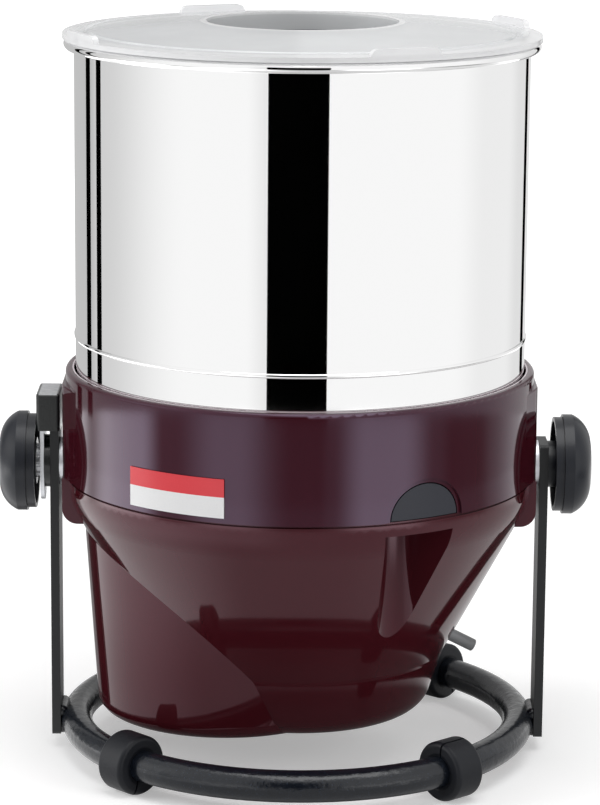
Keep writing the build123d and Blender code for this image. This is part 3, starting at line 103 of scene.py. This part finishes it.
# %% Wrap a socket so that it can be used in sums
class Value:
    def __init__(self, owner, socket):
        self.owner, self.socket = owner, socket

    def sum(self, operation, *others):
        inputs = dict(enumerate([self, *others]))
        node = self.owner.add("Math", {"operation": operation}, inputs)
        return Value(self.owner, node.outputs[0])

    def swapped(self, operation, other):
        node = self.owner.add("Math", {"operation": operation}, {0: other, 1: self})
        return Value(self.owner, node.outputs[0])

    def __add__(self, other):
        return self.sum("ADD", other)

    def __sub__(self, other):
        return self.sum("SUBTRACT", other)

    def __mul__(self, other):
        return self.sum("MULTIPLY", other)

    def __truediv__(self, other):
        return self.sum("DIVIDE", other)

    def __pow__(self, other):
        return self.sum("POWER", other)

    def __rsub__(self, other):
        return self.swapped("SUBTRACT", other)

    def __rtruediv__(self, other):
        return self.swapped("DIVIDE", other)

    def __rpow__(self, other):
        return self.swapped("POWER", other)

    __radd__, __rmul__ = __add__, __mul__

    def above(self, other):
        return self.sum("GREATER_THAN", other)

    def below(self, other):
        return self.sum("LESS_THAN", other)

    def least(self, other):
        return self.sum("MINIMUM", other)

    def most(self, other):
        return self.sum("MAXIMUM", other)

    def between(self, low, high):
        """0 under low, 1 over high, and a smooth rise from one to the other."""
        settings = {"interpolation_type": "SMOOTHSTEP", "clamp": True}
        inputs = {"Value": self, "From Min": low, "From Max": high}
        node = self.owner.add("MapRange", settings, inputs)
        return Value(self.owner, node.outputs["Result"])

    def hill(self, foot, top, top_end, foot_end):
        """0 outside both feet, 1 along the top, and smooth flanks."""
        return self.between(foot, top) * (1.0 - self.between(top_end, foot_end))


# %% A tree of nodes and the one way to add to it
class Nodes:
    def __init__(self, tree):
        self.tree = tree

    def add(self, kind, settings=None, inputs=None):
        node = self.tree.nodes.new("ShaderNode" + kind)
        for key, value in (settings or {}).items():
            setattr(node, key, value)
        for key, value in (inputs or {}).items():
            self.join(value, node.inputs[key])
        return node

    def join(self, value, socket):
        if isinstance(value, Value):
            value = value.socket
        if isinstance(value, bpy.types.NodeSocket):
            self.tree.links.new(value, socket)
        else:
            socket.default_value = value


# %% A finish: one material and the means to fill it
class Finish(Nodes):
    def __init__(self, name, **constants):
        self.name, self.material = name, bpy.data.materials.new(name)
        self.material.use_nodes = True
        super().__init__(self.material.node_tree)
        self.surface = self.tree.nodes["Principled BSDF"]
        self.places = None
        for socket, value in constants.items():
            self.put(socket.replace("_", " "), value)

    def put(self, socket, value):
        if socket == "Base Color" and not isinstance(value, (Value, bpy.types.NodeSocket)):
            value = (*value, 1.0)
        self.join(value, self.surface.inputs[socket])

    def place(self):
        if self.places is None:
            self.places = self.add("TexCoord").outputs["Object"]
        return self.places

    def axes(self):
        parts = self.add("SeparateXYZ", None, {0: self.place()})
        return [Value(self, parts.outputs[i]) for i in range(3)]

    def noise(self, scale, detail=2.0, squeeze=(1.0, 1.0, 1.0)):
        """A soft pattern from 0 to 1, packed closer along an axis by that axis' squeeze."""
        mapping = self.add("Mapping", None, {"Vector": self.place(), "Scale": squeeze})
        inputs = {"Vector": mapping.outputs[0], "Scale": scale, "Detail": detail}
        return Value(self, self.add("TexNoise", None, inputs).outputs["Fac"])

    def mix(self, share, first, second):
        """A colour between two, by a share from 0 to 1. Mix has its colours at 6 and 7."""
        first, second = ((*c, 1.0) if isinstance(c, tuple) else c for c in (first, second))
        node = self.add("Mix", {"data_type": "RGBA"}, {0: share, 6: first, 7: second})
        return node.outputs[2]

    def relief(self, height, depth):
        node = self.add("Bump", None, {"Height": height, "Distance": depth})
        self.put("Normal", node.outputs["Normal"])


def shade(colour, factor):
    """A colour made lighter or darker."""
    return tuple(min(1.0, c * factor) for c in colour)


print("half of a grey of 0.8:", shade((0.8, 0.8, 0.8), 0.5))

# %% [markdown]
# ## Plastics and paints
# Moulded plastic is never one even colour: the melt flows, the mould is a little
# polished here and dull there. A large soft noise shifts colour and roughness by a few
# per cent, and a fine one gives the skin its faint grain. Paint over steel gets the
# same treatment with a coarser relief. The stand's hammer paint has dents that mirror
# the lamps, and metal flecks. The cap on the left bar has a painted highlight: its top
# face is painted pale.

# %% Moulded plastic, painted metal and rubber
def moulded(name, colour, roughness, grain=900.0, depth=0.00004, spread=0.12, **constants):
    made = Finish(name, **constants)
    broad, fine = made.noise(14.0, 3.0), made.noise(grain, 2.0)
    made.put("Base Color", made.mix(broad, shade(colour, 1 - spread), shade(colour, 1 + spread)))
    made.put("Roughness", roughness - 0.04 + 0.05 * broad + 0.04 * fine)
    made.relief(fine, depth)
    return made


# %% Hammer paint
def hammered(name, colour, roughness, dent_scale=240.0, depth=0.0003):
    made = Finish(name)
    dents, fine = made.noise(dent_scale, 2.5), made.noise(1500.0, 2.0)
    paint = made.mix(dents, shade(colour, 0.7), shade(colour, 1.3))
    made.put("Base Color", made.mix(fine.between(0.62, 0.74), paint, shade(colour, 5.0)))
    made.put("Roughness", roughness + 0.10 * dents)
    made.relief(dents + 0.15 * fine, depth)
    return made


# %% Moulded plastic with a painted highlight on its top face
def moulded_with_painted_top(name, colour, roughness, low, high):
    """A painted highlight: the top of a cap between two corners is painted pale, up to a dark
    line along two of its edges.
    """
    face, dark, fade = 0.0003, 0.0010, 0.0018
    made = moulded(name, colour, roughness)
    x, y, z = made.axes()
    inside = x.hill(low.x + dark, low.x + fade, high.x - fade, high.x - dark)
    # Painted highlight: the top face, short of its edges, is painted pale in patches.
    highlight_area = z.above(high.z - face) * inside
    painted_top_highlight = highlight_area * (0.6 + 0.4 * made.noise(300.0))
    made.put("Base Color", made.mix(painted_top_highlight, colour, (0.52, 0.53, 0.55)))
    return made


# %% [markdown]
# ## Metals
# Bare steel differs by how it was worked. Sheet is rolled, so its lines run one way;
# turned parts have rings; polished sheet has almost none. A noise squeezed along one
# axis gives the lines, and it moves roughness more than colour, as on real steel.

# %% Worked and plated steel
def worked(name, colour, roughness, squeeze=(1.0, 1.0, 18.0), scale=260.0, depth=0.000015):
    made = Finish(name, Metallic=1.0)
    lines, broad = made.noise(scale, 3.0, squeeze), made.noise(20.0, 2.0)
    made.put("Base Color", made.mix(lines, shade(colour, 0.9), shade(colour, 1.1)))
    made.put("Roughness", roughness - 0.06 + 0.10 * lines + 0.05 * broad)
    made.relief(lines, depth)
    return made


def polished(name, colour, roughness):
    made = Finish(name, Metallic=1.0)
    lines = made.noise(420.0, 3.0, (1.0, 1.0, 30.0))
    made.put("Base Color", made.mix(lines, shade(colour, 0.985), shade(colour, 1.01)))
    made.put("Roughness", roughness + 0.012 * lines)
    return made


# %% [markdown]
# ## Granite
# The stones are grey granite, ground smooth. Granite is crystals of a few colours
# packed together. A Voronoi pattern cuts the stone into crystals, and a random number
# for each one makes it light feldspar, grey quartz or black mica. A noise shifts the
# quartz, and each crystal takes its own polish.

# %% Ground granite
def granite(name):
    made = Finish(name)
    crystals = made.add("TexVoronoi", None, {"Vector": made.place(), "Scale": 520.0})
    each = {"Vector": crystals.outputs["Position"]}
    drawn = made.add("TexWhiteNoise", {"noise_dimensions": "3D"}, each)
    pick = Value(made, drawn.outputs["Value"])
    broad = made.noise(60.0, 4.0)
    quartz = made.mix(broad, (0.17, 0.17, 0.17), (0.30, 0.295, 0.29))
    with_feldspar = made.mix(pick.above(0.70), quartz, (0.46, 0.45, 0.43))
    made.put("Base Color", made.mix(pick.below(0.26), with_feldspar, (0.035, 0.035, 0.038)))
    made.put("Roughness", 0.48 + 0.15 * pick)
    made.relief(pick + broad, 0.00006)
    return made


# %% [markdown]
# ## Wine-red housing plastic
# The ring and the lower housing are glossy moulded plastic, almost black-red in
# shadow. Its skin is polished, so it shows the floor and the stand sharply, and dye
# near the skin tints what it shows. The melt's slow flow moves depth of colour and gloss.
# The top lip is trimmed after moulding, so it is duller, and a pale line along its inner edge is
# a painted highlight.

# %% Wine-red plastic
LIP, LIP_FADE = 0.0012, 0.0026


def wine(name, colour, tint, top, lip_highlight_reach=0.0):
    """Dull from a little under its top, and there a painted highlight: pale within the given
    reach of the axis.
    """
    made = Finish(name, Specular_IOR_Level=0.5, Specular_Tint=(*tint, 1.0))
    x, y, z = made.axes()
    reach = (x * x + y * y) ** 0.5
    flow, fine = made.noise(9.0, 3.0, (1.0, 1.0, 0.5)), made.noise(700.0, 2.0)
    skin = made.mix(flow, shade(colour, 0.88), shade(colour, 1.14))
    # Painted highlight: the top lip's inner edge is painted pale.
    lip_highlight = z.above(top - LIP) * reach.below(lip_highlight_reach)
    made.put("Base Color", made.mix(lip_highlight, skin, (0.60, 0.52, 0.55)))
    dull = z.between(top - LIP_FADE, top - LIP)
    made.put("Roughness", 0.045 + 0.03 * flow + 0.01 * fine + 0.12 * dull)
    made.relief(flow + 0.02 * fine, 0.0001)
    return made


# %% [markdown]
# ## The lid and the label
# The lid is clear plastic with a milky cast: it shows the drum under it. Its rim
# and mouth are painted paler, a painted highlight for light caught in their rounded
# edges, and the skirt inside the mouth is painted darker, a painted shade. Alpha carries
# the clearness, with zones for the rim, the mouth's lip and its skirt. The label is a
# bare two-colour plate: a red band over white paper.

# %% Clear lid
def clear_plastic(name, colour, clear, rim_reach, mouth_reach, mouth_z):
    """Zones by height and by distance from the axis, in metres."""
    rim_width, lip, skin = 0.004, 0.0012, 0.0002
    made = Finish(name, Coat_Weight=0.5, Coat_Roughness=0.08, IOR=1.45)
    x, y, z = made.axes()
    reach = (x * x + y * y) ** 0.5
    rim = reach.between(rim_reach - rim_width, rim_reach)
    mouth = z.above(mouth_z - lip) * reach.below(mouth_reach + lip)
    skirt = z.below(mouth_z - lip) * reach.below(mouth_reach + skin)
    cloud = made.noise(30.0, 2.0)
    # Painted highlight: the rim and the mouth's lip are painted paler.
    pale = made.mix(rim.most(mouth) * 0.8 + 0.2 * cloud, colour, (0.97, 0.97, 0.98))
    # Painted shade: the skirt inside the mouth is painted darker.
    made.put("Base Color", made.mix(skirt, pale, shade(colour, 0.84)))
    made.put("Roughness", 0.16 + 0.08 * cloud)
    alpha = clear + 0.10 * rim + 0.15 * mouth + 0.20 * skirt + 0.06 * cloud
    made.put("Alpha", alpha.least(0.96))
    return made


# %% Blank label
def two_colour_label(name, band_z):
    made = Finish(name, Coat_Weight=0.2, Coat_Roughness=0.12, Specular_IOR_Level=0.3)
    x, y, z = made.axes()
    fibre = made.noise(1800.0, 3.0)
    paper = made.mix(fibre, (0.72, 0.72, 0.73), (0.80, 0.80, 0.80))
    print_red = made.mix(fibre, (0.62, 0.030, 0.042), (0.68, 0.042, 0.055))
    made.put("Base Color", made.mix(z.above(band_z), paper, print_red))
    made.put("Roughness", 0.35 + 0.1 * fibre)
    return made


# %% [markdown]
# ## One finish for each material slot
# Each CAD part names a material slot, and each slot gets one finish of the same name.
# One material for each part could do the same, but parts made of the same stuff are
# easier to tune when they change together.

# %% Finishes of the stand, its knobs and its pivots
EVEN = (1.0, 1.0, 1.0)
finishes = [
    hammered("stand_paint", (0.0040, 0.0060, 0.0105), 0.16),
    moulded("bar_paint", (0.0100, 0.0110, 0.0125), 0.42, grain=1200.0, depth=0.00006,
            Specular_IOR_Level=0.40),
    moulded("foot_rubber", (0.0035, 0.0046, 0.0080), 0.50, grain=500.0, depth=0.0001,
            Specular_IOR_Level=0.30),
    moulded_with_painted_top("cap_plastic", (0.0060, 0.0078, 0.0078), 0.20, *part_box("upright_cap")),
    moulded("knob_plastic", (0.0068, 0.0085, 0.0140), 0.30, Specular_IOR_Level=0.36),
    worked("plated_steel", (0.70, 0.71, 0.74), 0.34, (1.0, 1.0, 8.0)),
    worked("bolt_steel", (0.58, 0.58, 0.60), 0.30, EVEN),
]
print("finishes of the stand:", len(finishes))

# %% Finishes of the base, the drum and the lid
# Distances from the axis, and the height at which the label's red begins, in metres.
# The ring's painted highlight on its top lip reaches this far from the axis.
RING_LIP_HIGHLIGHT = 0.1167
BAND_Z = 0.1606
LID_RIM, LID_MOUTH = 0.1165, 0.0504
finishes += [
    wine("wine_ring", (0.041, 0.0050, 0.0092), (0.80, 0.72, 1.0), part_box("body_ring")[1].z,
         RING_LIP_HIGHLIGHT),
    wine("wine_housing", (0.048, 0.0058, 0.0090), (1.0, 0.68, 0.78),
         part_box("lower_housing")[1].z),
    moulded("switch_plastic", (0.0200, 0.0215, 0.0310), 0.44, grain=700.0,
            Specular_IOR_Level=0.35),
    moulded("gland_plastic", (0.32, 0.33, 0.34), 0.45, spread=0.05),
    two_colour_label("label_paper", BAND_Z),
    polished("drum_steel", (0.93, 0.93, 0.93), 0.022),
    clear_plastic("lid_clear", (0.90, 0.915, 0.93), 0.66, LID_RIM, LID_MOUTH,
                  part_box("lid")[1].z),
]
print("finishes with those of the base, drum and lid:", len(finishes))

# %% Finishes of what is inside
finishes += [
    worked("sheet_steel", (0.55, 0.55, 0.56), 0.32, (14.0, 1.0, 1.0)),
    worked("post_steel", (0.62, 0.62, 0.63), 0.22),
    worked("bearing_steel", (0.60, 0.60, 0.62), 0.18),
    worked("cast_housing", (0.16, 0.16, 0.165), 0.55, EVEN, 500.0, 0.0002),
    moulded("motor_paint", (0.05, 0.05, 0.055), 0.40, Coat_Weight=0.3),
    worked("lamination", (0.30, 0.30, 0.31), 0.42, (1.0, 1.0, 0.02), 2600.0, 0.0001),
    moulded("capacitor_plastic", (0.70, 0.70, 0.67), 0.38, spread=0.04),
    moulded("belt_rubber", (0.02, 0.02, 0.022), 0.62),
    moulded("fan_plastic", (0.25, 0.26, 0.27), 0.45, spread=0.06),
    worked("pulley_alloy", (0.66, 0.66, 0.67), 0.34, (1.0, 1.0, 10.0)),
    granite("granite"),
    moulded("holder_plastic", (0.55, 0.55, 0.53), 0.42, spread=0.04),
    moulded("blade_plastic", (0.70, 0.70, 0.68), 0.40, spread=0.03),
    worked("bush_bronze", (0.60, 0.42, 0.20), 0.34),
    worked("insert_brass", (0.72, 0.52, 0.24), 0.26),
]
print("all finishes:", len(finishes))

# %% Give every CAD part the finish of its material slot
materials = {finish.name: finish.material for finish in finishes}
for row in frame["record"]["subparts"]:
    part = nodes[row["node"]]
    part.data.materials.clear()
    part.data.materials.append(materials[row["material_slot"]])

# %% [markdown]
# ## The drum as a mirror
# A mirror shows every facet, so the spun drum is turned again from its profile in fine
# steps: floor, corner, wall, the rolled seam and the bead. Spinning a profile is how the
# drum itself is made, so it fits better than smoothing the faces that CAD gave. The
# real seam is a soft ridge left by rolling, hence the half ellipse. One more point right
# beside each corner keeps the walls' shading straight, or they would mirror too low.

# %% Points of a profile, and a form made an object
def arc(centre, size, from_deg, to_deg, count):
    """Points of radius and height along part of an ellipse."""
    steps = [math.radians(from_deg + (to_deg - from_deg) * i / count) for i in range(count + 1)]
    return [(centre[0] + size[0] * math.cos(a), centre[1] + size[1] * math.sin(a)) for a in steps]


def placed(name, form):
    """An object of the scene, made from a bmesh that is then done with."""
    mesh = bpy.data.meshes.new(name)
    form.to_mesh(mesh)
    form.free()
    made = bpy.data.objects.new(name, mesh)
    bpy.context.scene.collection.objects.link(made)
    return made


# %% A lathe
def lathe(name, profile, segments, sharp_deg):
    """A closed profile of radius and height in metres, turned once round the drum's axis."""
    form = bmesh.new()
    points = [form.verts.new((reach, 0.0, height)) for reach, height in profile]
    edges = [form.edges.new(pair) for pair in zip(points, points[1:] + points[:1])]
    bmesh.ops.spin(form, geom=[*points, *edges], cent=(0, 0, 0), axis=(0, 0, 1), dvec=(0, 0, 0),
                   angle=2 * math.pi, steps=segments, use_merge=True, use_duplicate=False)
    bmesh.ops.recalc_face_normals(form, faces=form.faces)
    for face in form.faces:
        face.smooth = True
    made = placed(name, form)
    made.data.set_sharp_from_angle(angle=math.radians(sharp_deg))
    return made


# %% Spin the drum from its profile
low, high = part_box("drum_shell")
BEAD, BEAD_REACH, DRUM_WALL, CORNER, BORE = 0.0025, 0.0052, 0.0012, 0.007, 0.0088
SEAM_RISE, SEAM_PROUD, SEAM_HALF = 0.0404, 0.0007, 0.0011
BESIDE, CUT_EDGE = 0.0004, 0.0006
STEPS_ROUND, SHARP_DEG = 288, 40.0
wall = high.x - BEAD_REACH
inner = wall - DRUM_WALL
hollow = CORNER - DRUM_WALL
corner_z = low.z + CORNER
profile = [(BORE, low.z)]
profile += arc((wall - CORNER, corner_z), (CORNER, CORNER), -90, 0, 10)
profile += [(wall, corner_z + BESIDE)]
profile += arc((wall, low.z + SEAM_RISE), (SEAM_PROUD, SEAM_HALF), -90, 90, 12)
profile += [(wall, high.z - BEAD)]
profile += arc((high.x - BEAD, high.z - BEAD), (BEAD, BEAD), 180, 450, 36)
profile += [(inner + CUT_EDGE, high.z), (inner, high.z - CUT_EDGE)]
profile += [(inner, corner_z + BESIDE)]
profile += arc((inner - hollow, corner_z), (hollow, hollow), 0, -90, 8)
profile += [(BORE, low.z + DRUM_WALL)]
drum = lathe("drum_mirror", profile, STEPS_ROUND, SHARP_DEG)
drum.data.materials.append(materials["drum_steel"])
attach(drum, "drum")
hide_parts("drum_shell")
print("drum profile points:", len(profile), "wall radius in mm:", round(1000 * wall, 1))

# %% [markdown]
# ## The floor and what it glows like
# Polished steel has no colour of its own: it shows the room. Such products are
# photographed in a white tent, so the floor glows a little for the camera and is bright
# and dim by turns in reflections, as a lit sheet is: in reflections its light and the
# shadow under the object are painted into the glow. It could be lit harder instead, but
# that would bleach the object. For the camera the floor keeps the object's real shadow.

# %% What the floor and the tent have in common
BRIGHTEST = 4.0


def lit(finish, tone):
    """Emission up to BRIGHTEST: the strength is the same all over and the colour varies."""
    finish.put("Emission Strength", BRIGHTEST)
    share = 1 / BRIGHTEST * tone
    finish.put("Emission Color", finish.mix(share, (0.0, 0.0, 0.0), (1.0, 1.0, 1.0)))


def round_about(x, y):
    """Degrees round the axis: 0 at the camera, 90 to the right, under 0 to the left."""
    return x.sum("ARCTAN2", 0.0 - y) * (180 / math.pi)


def bands(azimuth):
    """How bright the tent's foot is all round, with dim gaps between its lit panels."""
    left = 0.0 - azimuth
    tone = 0.45 + 3.0 * left.hill(64.0, 77.0, 98.0, 118.0) + 1.6 * left.between(110.0, 124.0)
    tone = tone + 1.4 * left.hill(8.0, 28.0, 36.0, 58.0)
    tone = tone - 0.22 * azimuth.hill(-12.0, -3.0, 8.0, 14.0)
    tone = tone + 2.1 * azimuth.hill(14.0, 30.0, 46.0, 64.0)
    tone = tone - 0.26 * azimuth.hill(64.0, 74.0, 90.0, 100.0)
    return tone + 0.7 * azimuth.between(94.0, 124.0) + 0.5 * azimuth.between(124.0, 134.0)


# %% How bright the floor is in reflections
def floor_in_gloss(x, y, reach):
    """Near the object painted tones: painted light to both sides, most at the left, a painted
    dark strip at the left and a painted shadow under the object; far off the tent's.
    """
    # Painted light: the floor is brighter to the left and a little to the right.
    left, right = ((0.0 - x) / reach).between(0.4, 1.0), (x / reach).between(0.3, 0.9)
    far_left = ((0.0 - x) / reach).between(0.0, 0.4) * reach.between(0.20, 0.34)
    # Painted shade: a dark strip on the floor at the left.
    painted_dark_strip = ((-0.11 - x) / y).hill(0.10, 0.22, 0.75, 0.95) * y.between(0.02, 0.06)
    near = 0.51 + 0.55 * left + 0.12 * right + 0.40 * far_left
    # Painted shadow: the floor under the object is dark in reflections.
    near = near * (1.0 - 0.85 * painted_dark_strip) * (0.14 + 0.86 * reach.between(0.112, 0.122))
    return near + reach.between(0.50, 0.64) * (bands(round_about(x, y)) - near)


# %% Lay the floor
FLOOR_HALF = 12.0
form = bmesh.new()
bmesh.ops.create_grid(form, x_segments=1, y_segments=1, size=FLOOR_HALF)
floor = placed("floor", form)
pale = Finish("floor_white")
pale.put("Roughness", 0.85 + 0.1 * pale.noise(6.0))
x, y, z = pale.axes()
reach = (x * x + y * y) ** 0.5
rays = pale.add("LightPath").outputs
through = Value(pale, rays["Is Transmission Ray"])
looked_at = Value(pale, rays["Is Camera Ray"]).most(through)
mirrored = Value(pale, rays["Is Glossy Ray"])
in_view = 0.34 + 0.5 * reach.between(0.4, 1.6)
lit(pale, looked_at * in_view + mirrored * floor_in_gloss(x, y, reach))
# In reflections the floor's own colour is dark, so its painted glow sets what is mirrored.
pale.put("Base Color", pale.mix(mirrored, (0.80, 0.80, 0.80), (0.12, 0.12, 0.12)))
floor.data.materials.append(pale.material)
print("floor half width in m:", FLOOR_HALF)

# %% [markdown]
# ## The white surroundings
# The world is white wherever it is looked at or mirrored. Where it only lights a dull
# surface it is dimmer, so that the object keeps its own shade on the side away from the
# lamps. Is Diffuse Ray tells the two apart.

# %% A white world that lights less than it shows
DIMMER = 0.58
world = bpy.data.worlds.new("world")
bpy.context.scene.world = world
world.use_nodes = True
sky = world.node_tree.nodes["Background"]
around = Nodes(world.node_tree)
only_lights = Value(around, around.add("LightPath").outputs["Is Diffuse Ray"])
around.join(1.0 - DIMMER * only_lights, sky.inputs["Strength"])
around.join((1.0, 1.0, 1.0, 1.0), sky.inputs["Color"])
print("world strength where it only lights:", round(1.0 - DIMMER, 2))

# %% [markdown]
# ## The tent and its dark cards
# The wall round the product and the dark cards beside the lens are the bright sheets and
# black bands on the drum. They could be real walls that light the scene, but then the
# camera's own view would be blocked. So the tent is a ring of wall that only reflections
# see: it gives no light and throws no shadow.

# %% A strip of wall
DEG_A_FACE = 4


def card(name, from_deg, to_deg, low, high, radius, tone=None):
    """An upright strip between two azimuths, 0 at the camera and 90 to the right."""
    form = bmesh.new()
    start, end = math.radians(from_deg), math.radians(to_deg)
    spot = (radius * math.sin(start), -radius * math.cos(start))
    feet = [form.verts.new((*spot, low)), form.verts.new((*spot, high))]
    edge = form.edges.new(feet)
    steps = max(2, round(abs(to_deg - from_deg) / DEG_A_FACE))
    bmesh.ops.spin(form, geom=[*feet, edge], cent=(0, 0, 0), axis=(0, 0, 1), dvec=(0, 0, 0),
                   angle=end - start, steps=steps, use_merge=False, use_duplicate=False)
    made = placed(name, form)
    paint = Finish(name, Base_Color=(0.0, 0.0, 0.0), Roughness=1.0, Specular_IOR_Level=0.0)
    if tone:
        x, y, z = paint.axes()
        lit(paint, tone(round_about(x, y), z))
    made.data.materials.append(paint.material)
    made.visible_camera = made.visible_diffuse = made.visible_shadow = False
    made.visible_transmission = made.visible_volume_scatter = False
    return made


# %% How bright the wall is
# The drum mirrors the wall above DRUM_SEES metres in front, and from lower down behind.
DRUM_SEES, LOWER_BEHIND, BLEND = 0.0668, 0.0000018, 0.002


def wall_tone(azimuth, height):
    """The drum sees the upper wall and the wine ring only its foot, so each has its tones."""
    left = 0.0 - azimuth
    upper = 1.0 - 0.33 * left.between(53.0, 112.0) - 0.12 * left.between(116.0, 124.0)
    upper = upper - 0.12 * left.hill(6.0, 13.0, 16.0, 26.0)
    upper = upper - 0.10 * azimuth.between(76.0, 98.0) - 0.12 * azimuth.between(118.0, 134.0)
    lower = bands(azimuth)
    over = height - (DRUM_SEES - LOWER_BEHIND * azimuth * azimuth)
    return (lower + over.between(-BLEND, 0.0) * (upper - lower)).most(0.0)


# %% Put up the tent and its cards
TENT_RADIUS, TENT_HEIGHT = 0.75, 0.9
CARD_RADIUS, CARD_TOP = TENT_RADIUS - 0.01, 0.6
card("tent", -180.0, 180.0, 0.0, TENT_HEIGHT, TENT_RADIUS, wall_tone)
card("front_card", -15.5, 12.0, 0.065, CARD_TOP, CARD_RADIUS)
card("strip_left_a", -118.0, -113.0, 0.040, CARD_TOP, CARD_RADIUS)
card("strip_left_b", -131.0, -125.0, 0.034, CARD_TOP, CARD_RADIUS)
card("strip_right", 143.0, 150.0, 0.028, CARD_TOP, CARD_RADIUS)
print("tent radius in m:", TENT_RADIUS)

# %% [markdown]
# ## Lamps
# Three large soft boxes, as in a product studio: one over the object, one at each side.
# A sun or a spot would throw hard shadows, which such pictures don't have. Each is
# aimed at the object's middle.

# %% Hang the lamps
def softbox(name, place, aim, width, height, power):
    lamp = bpy.data.lights.new(name, "AREA")
    lamp.shape = "RECTANGLE"
    lamp.size, lamp.size_y, lamp.energy = width, height, power
    made = bpy.data.objects.new(name, lamp)
    made.location = place
    made.rotation_mode = "QUATERNION"
    made.rotation_quaternion = (Vector(aim) - Vector(place)).to_track_quat("-Z", "Y")
    bpy.context.scene.collection.objects.link(made)
    return made


MIDDLE = (0.0, 0.0, 0.2)
softbox("top_box", (0.2, -0.3, 2.2), MIDDLE, 1.6, 1.6, 22.0)
softbox("left_box", (-1.9, -0.2, 0.9), MIDDLE, 0.9, 1.2, 20.0)
softbox("right_box", (1.7, -1.3, 0.9), MIDDLE, 0.8, 1.2, 9.0)
print("lamps:", len(bpy.data.lights))
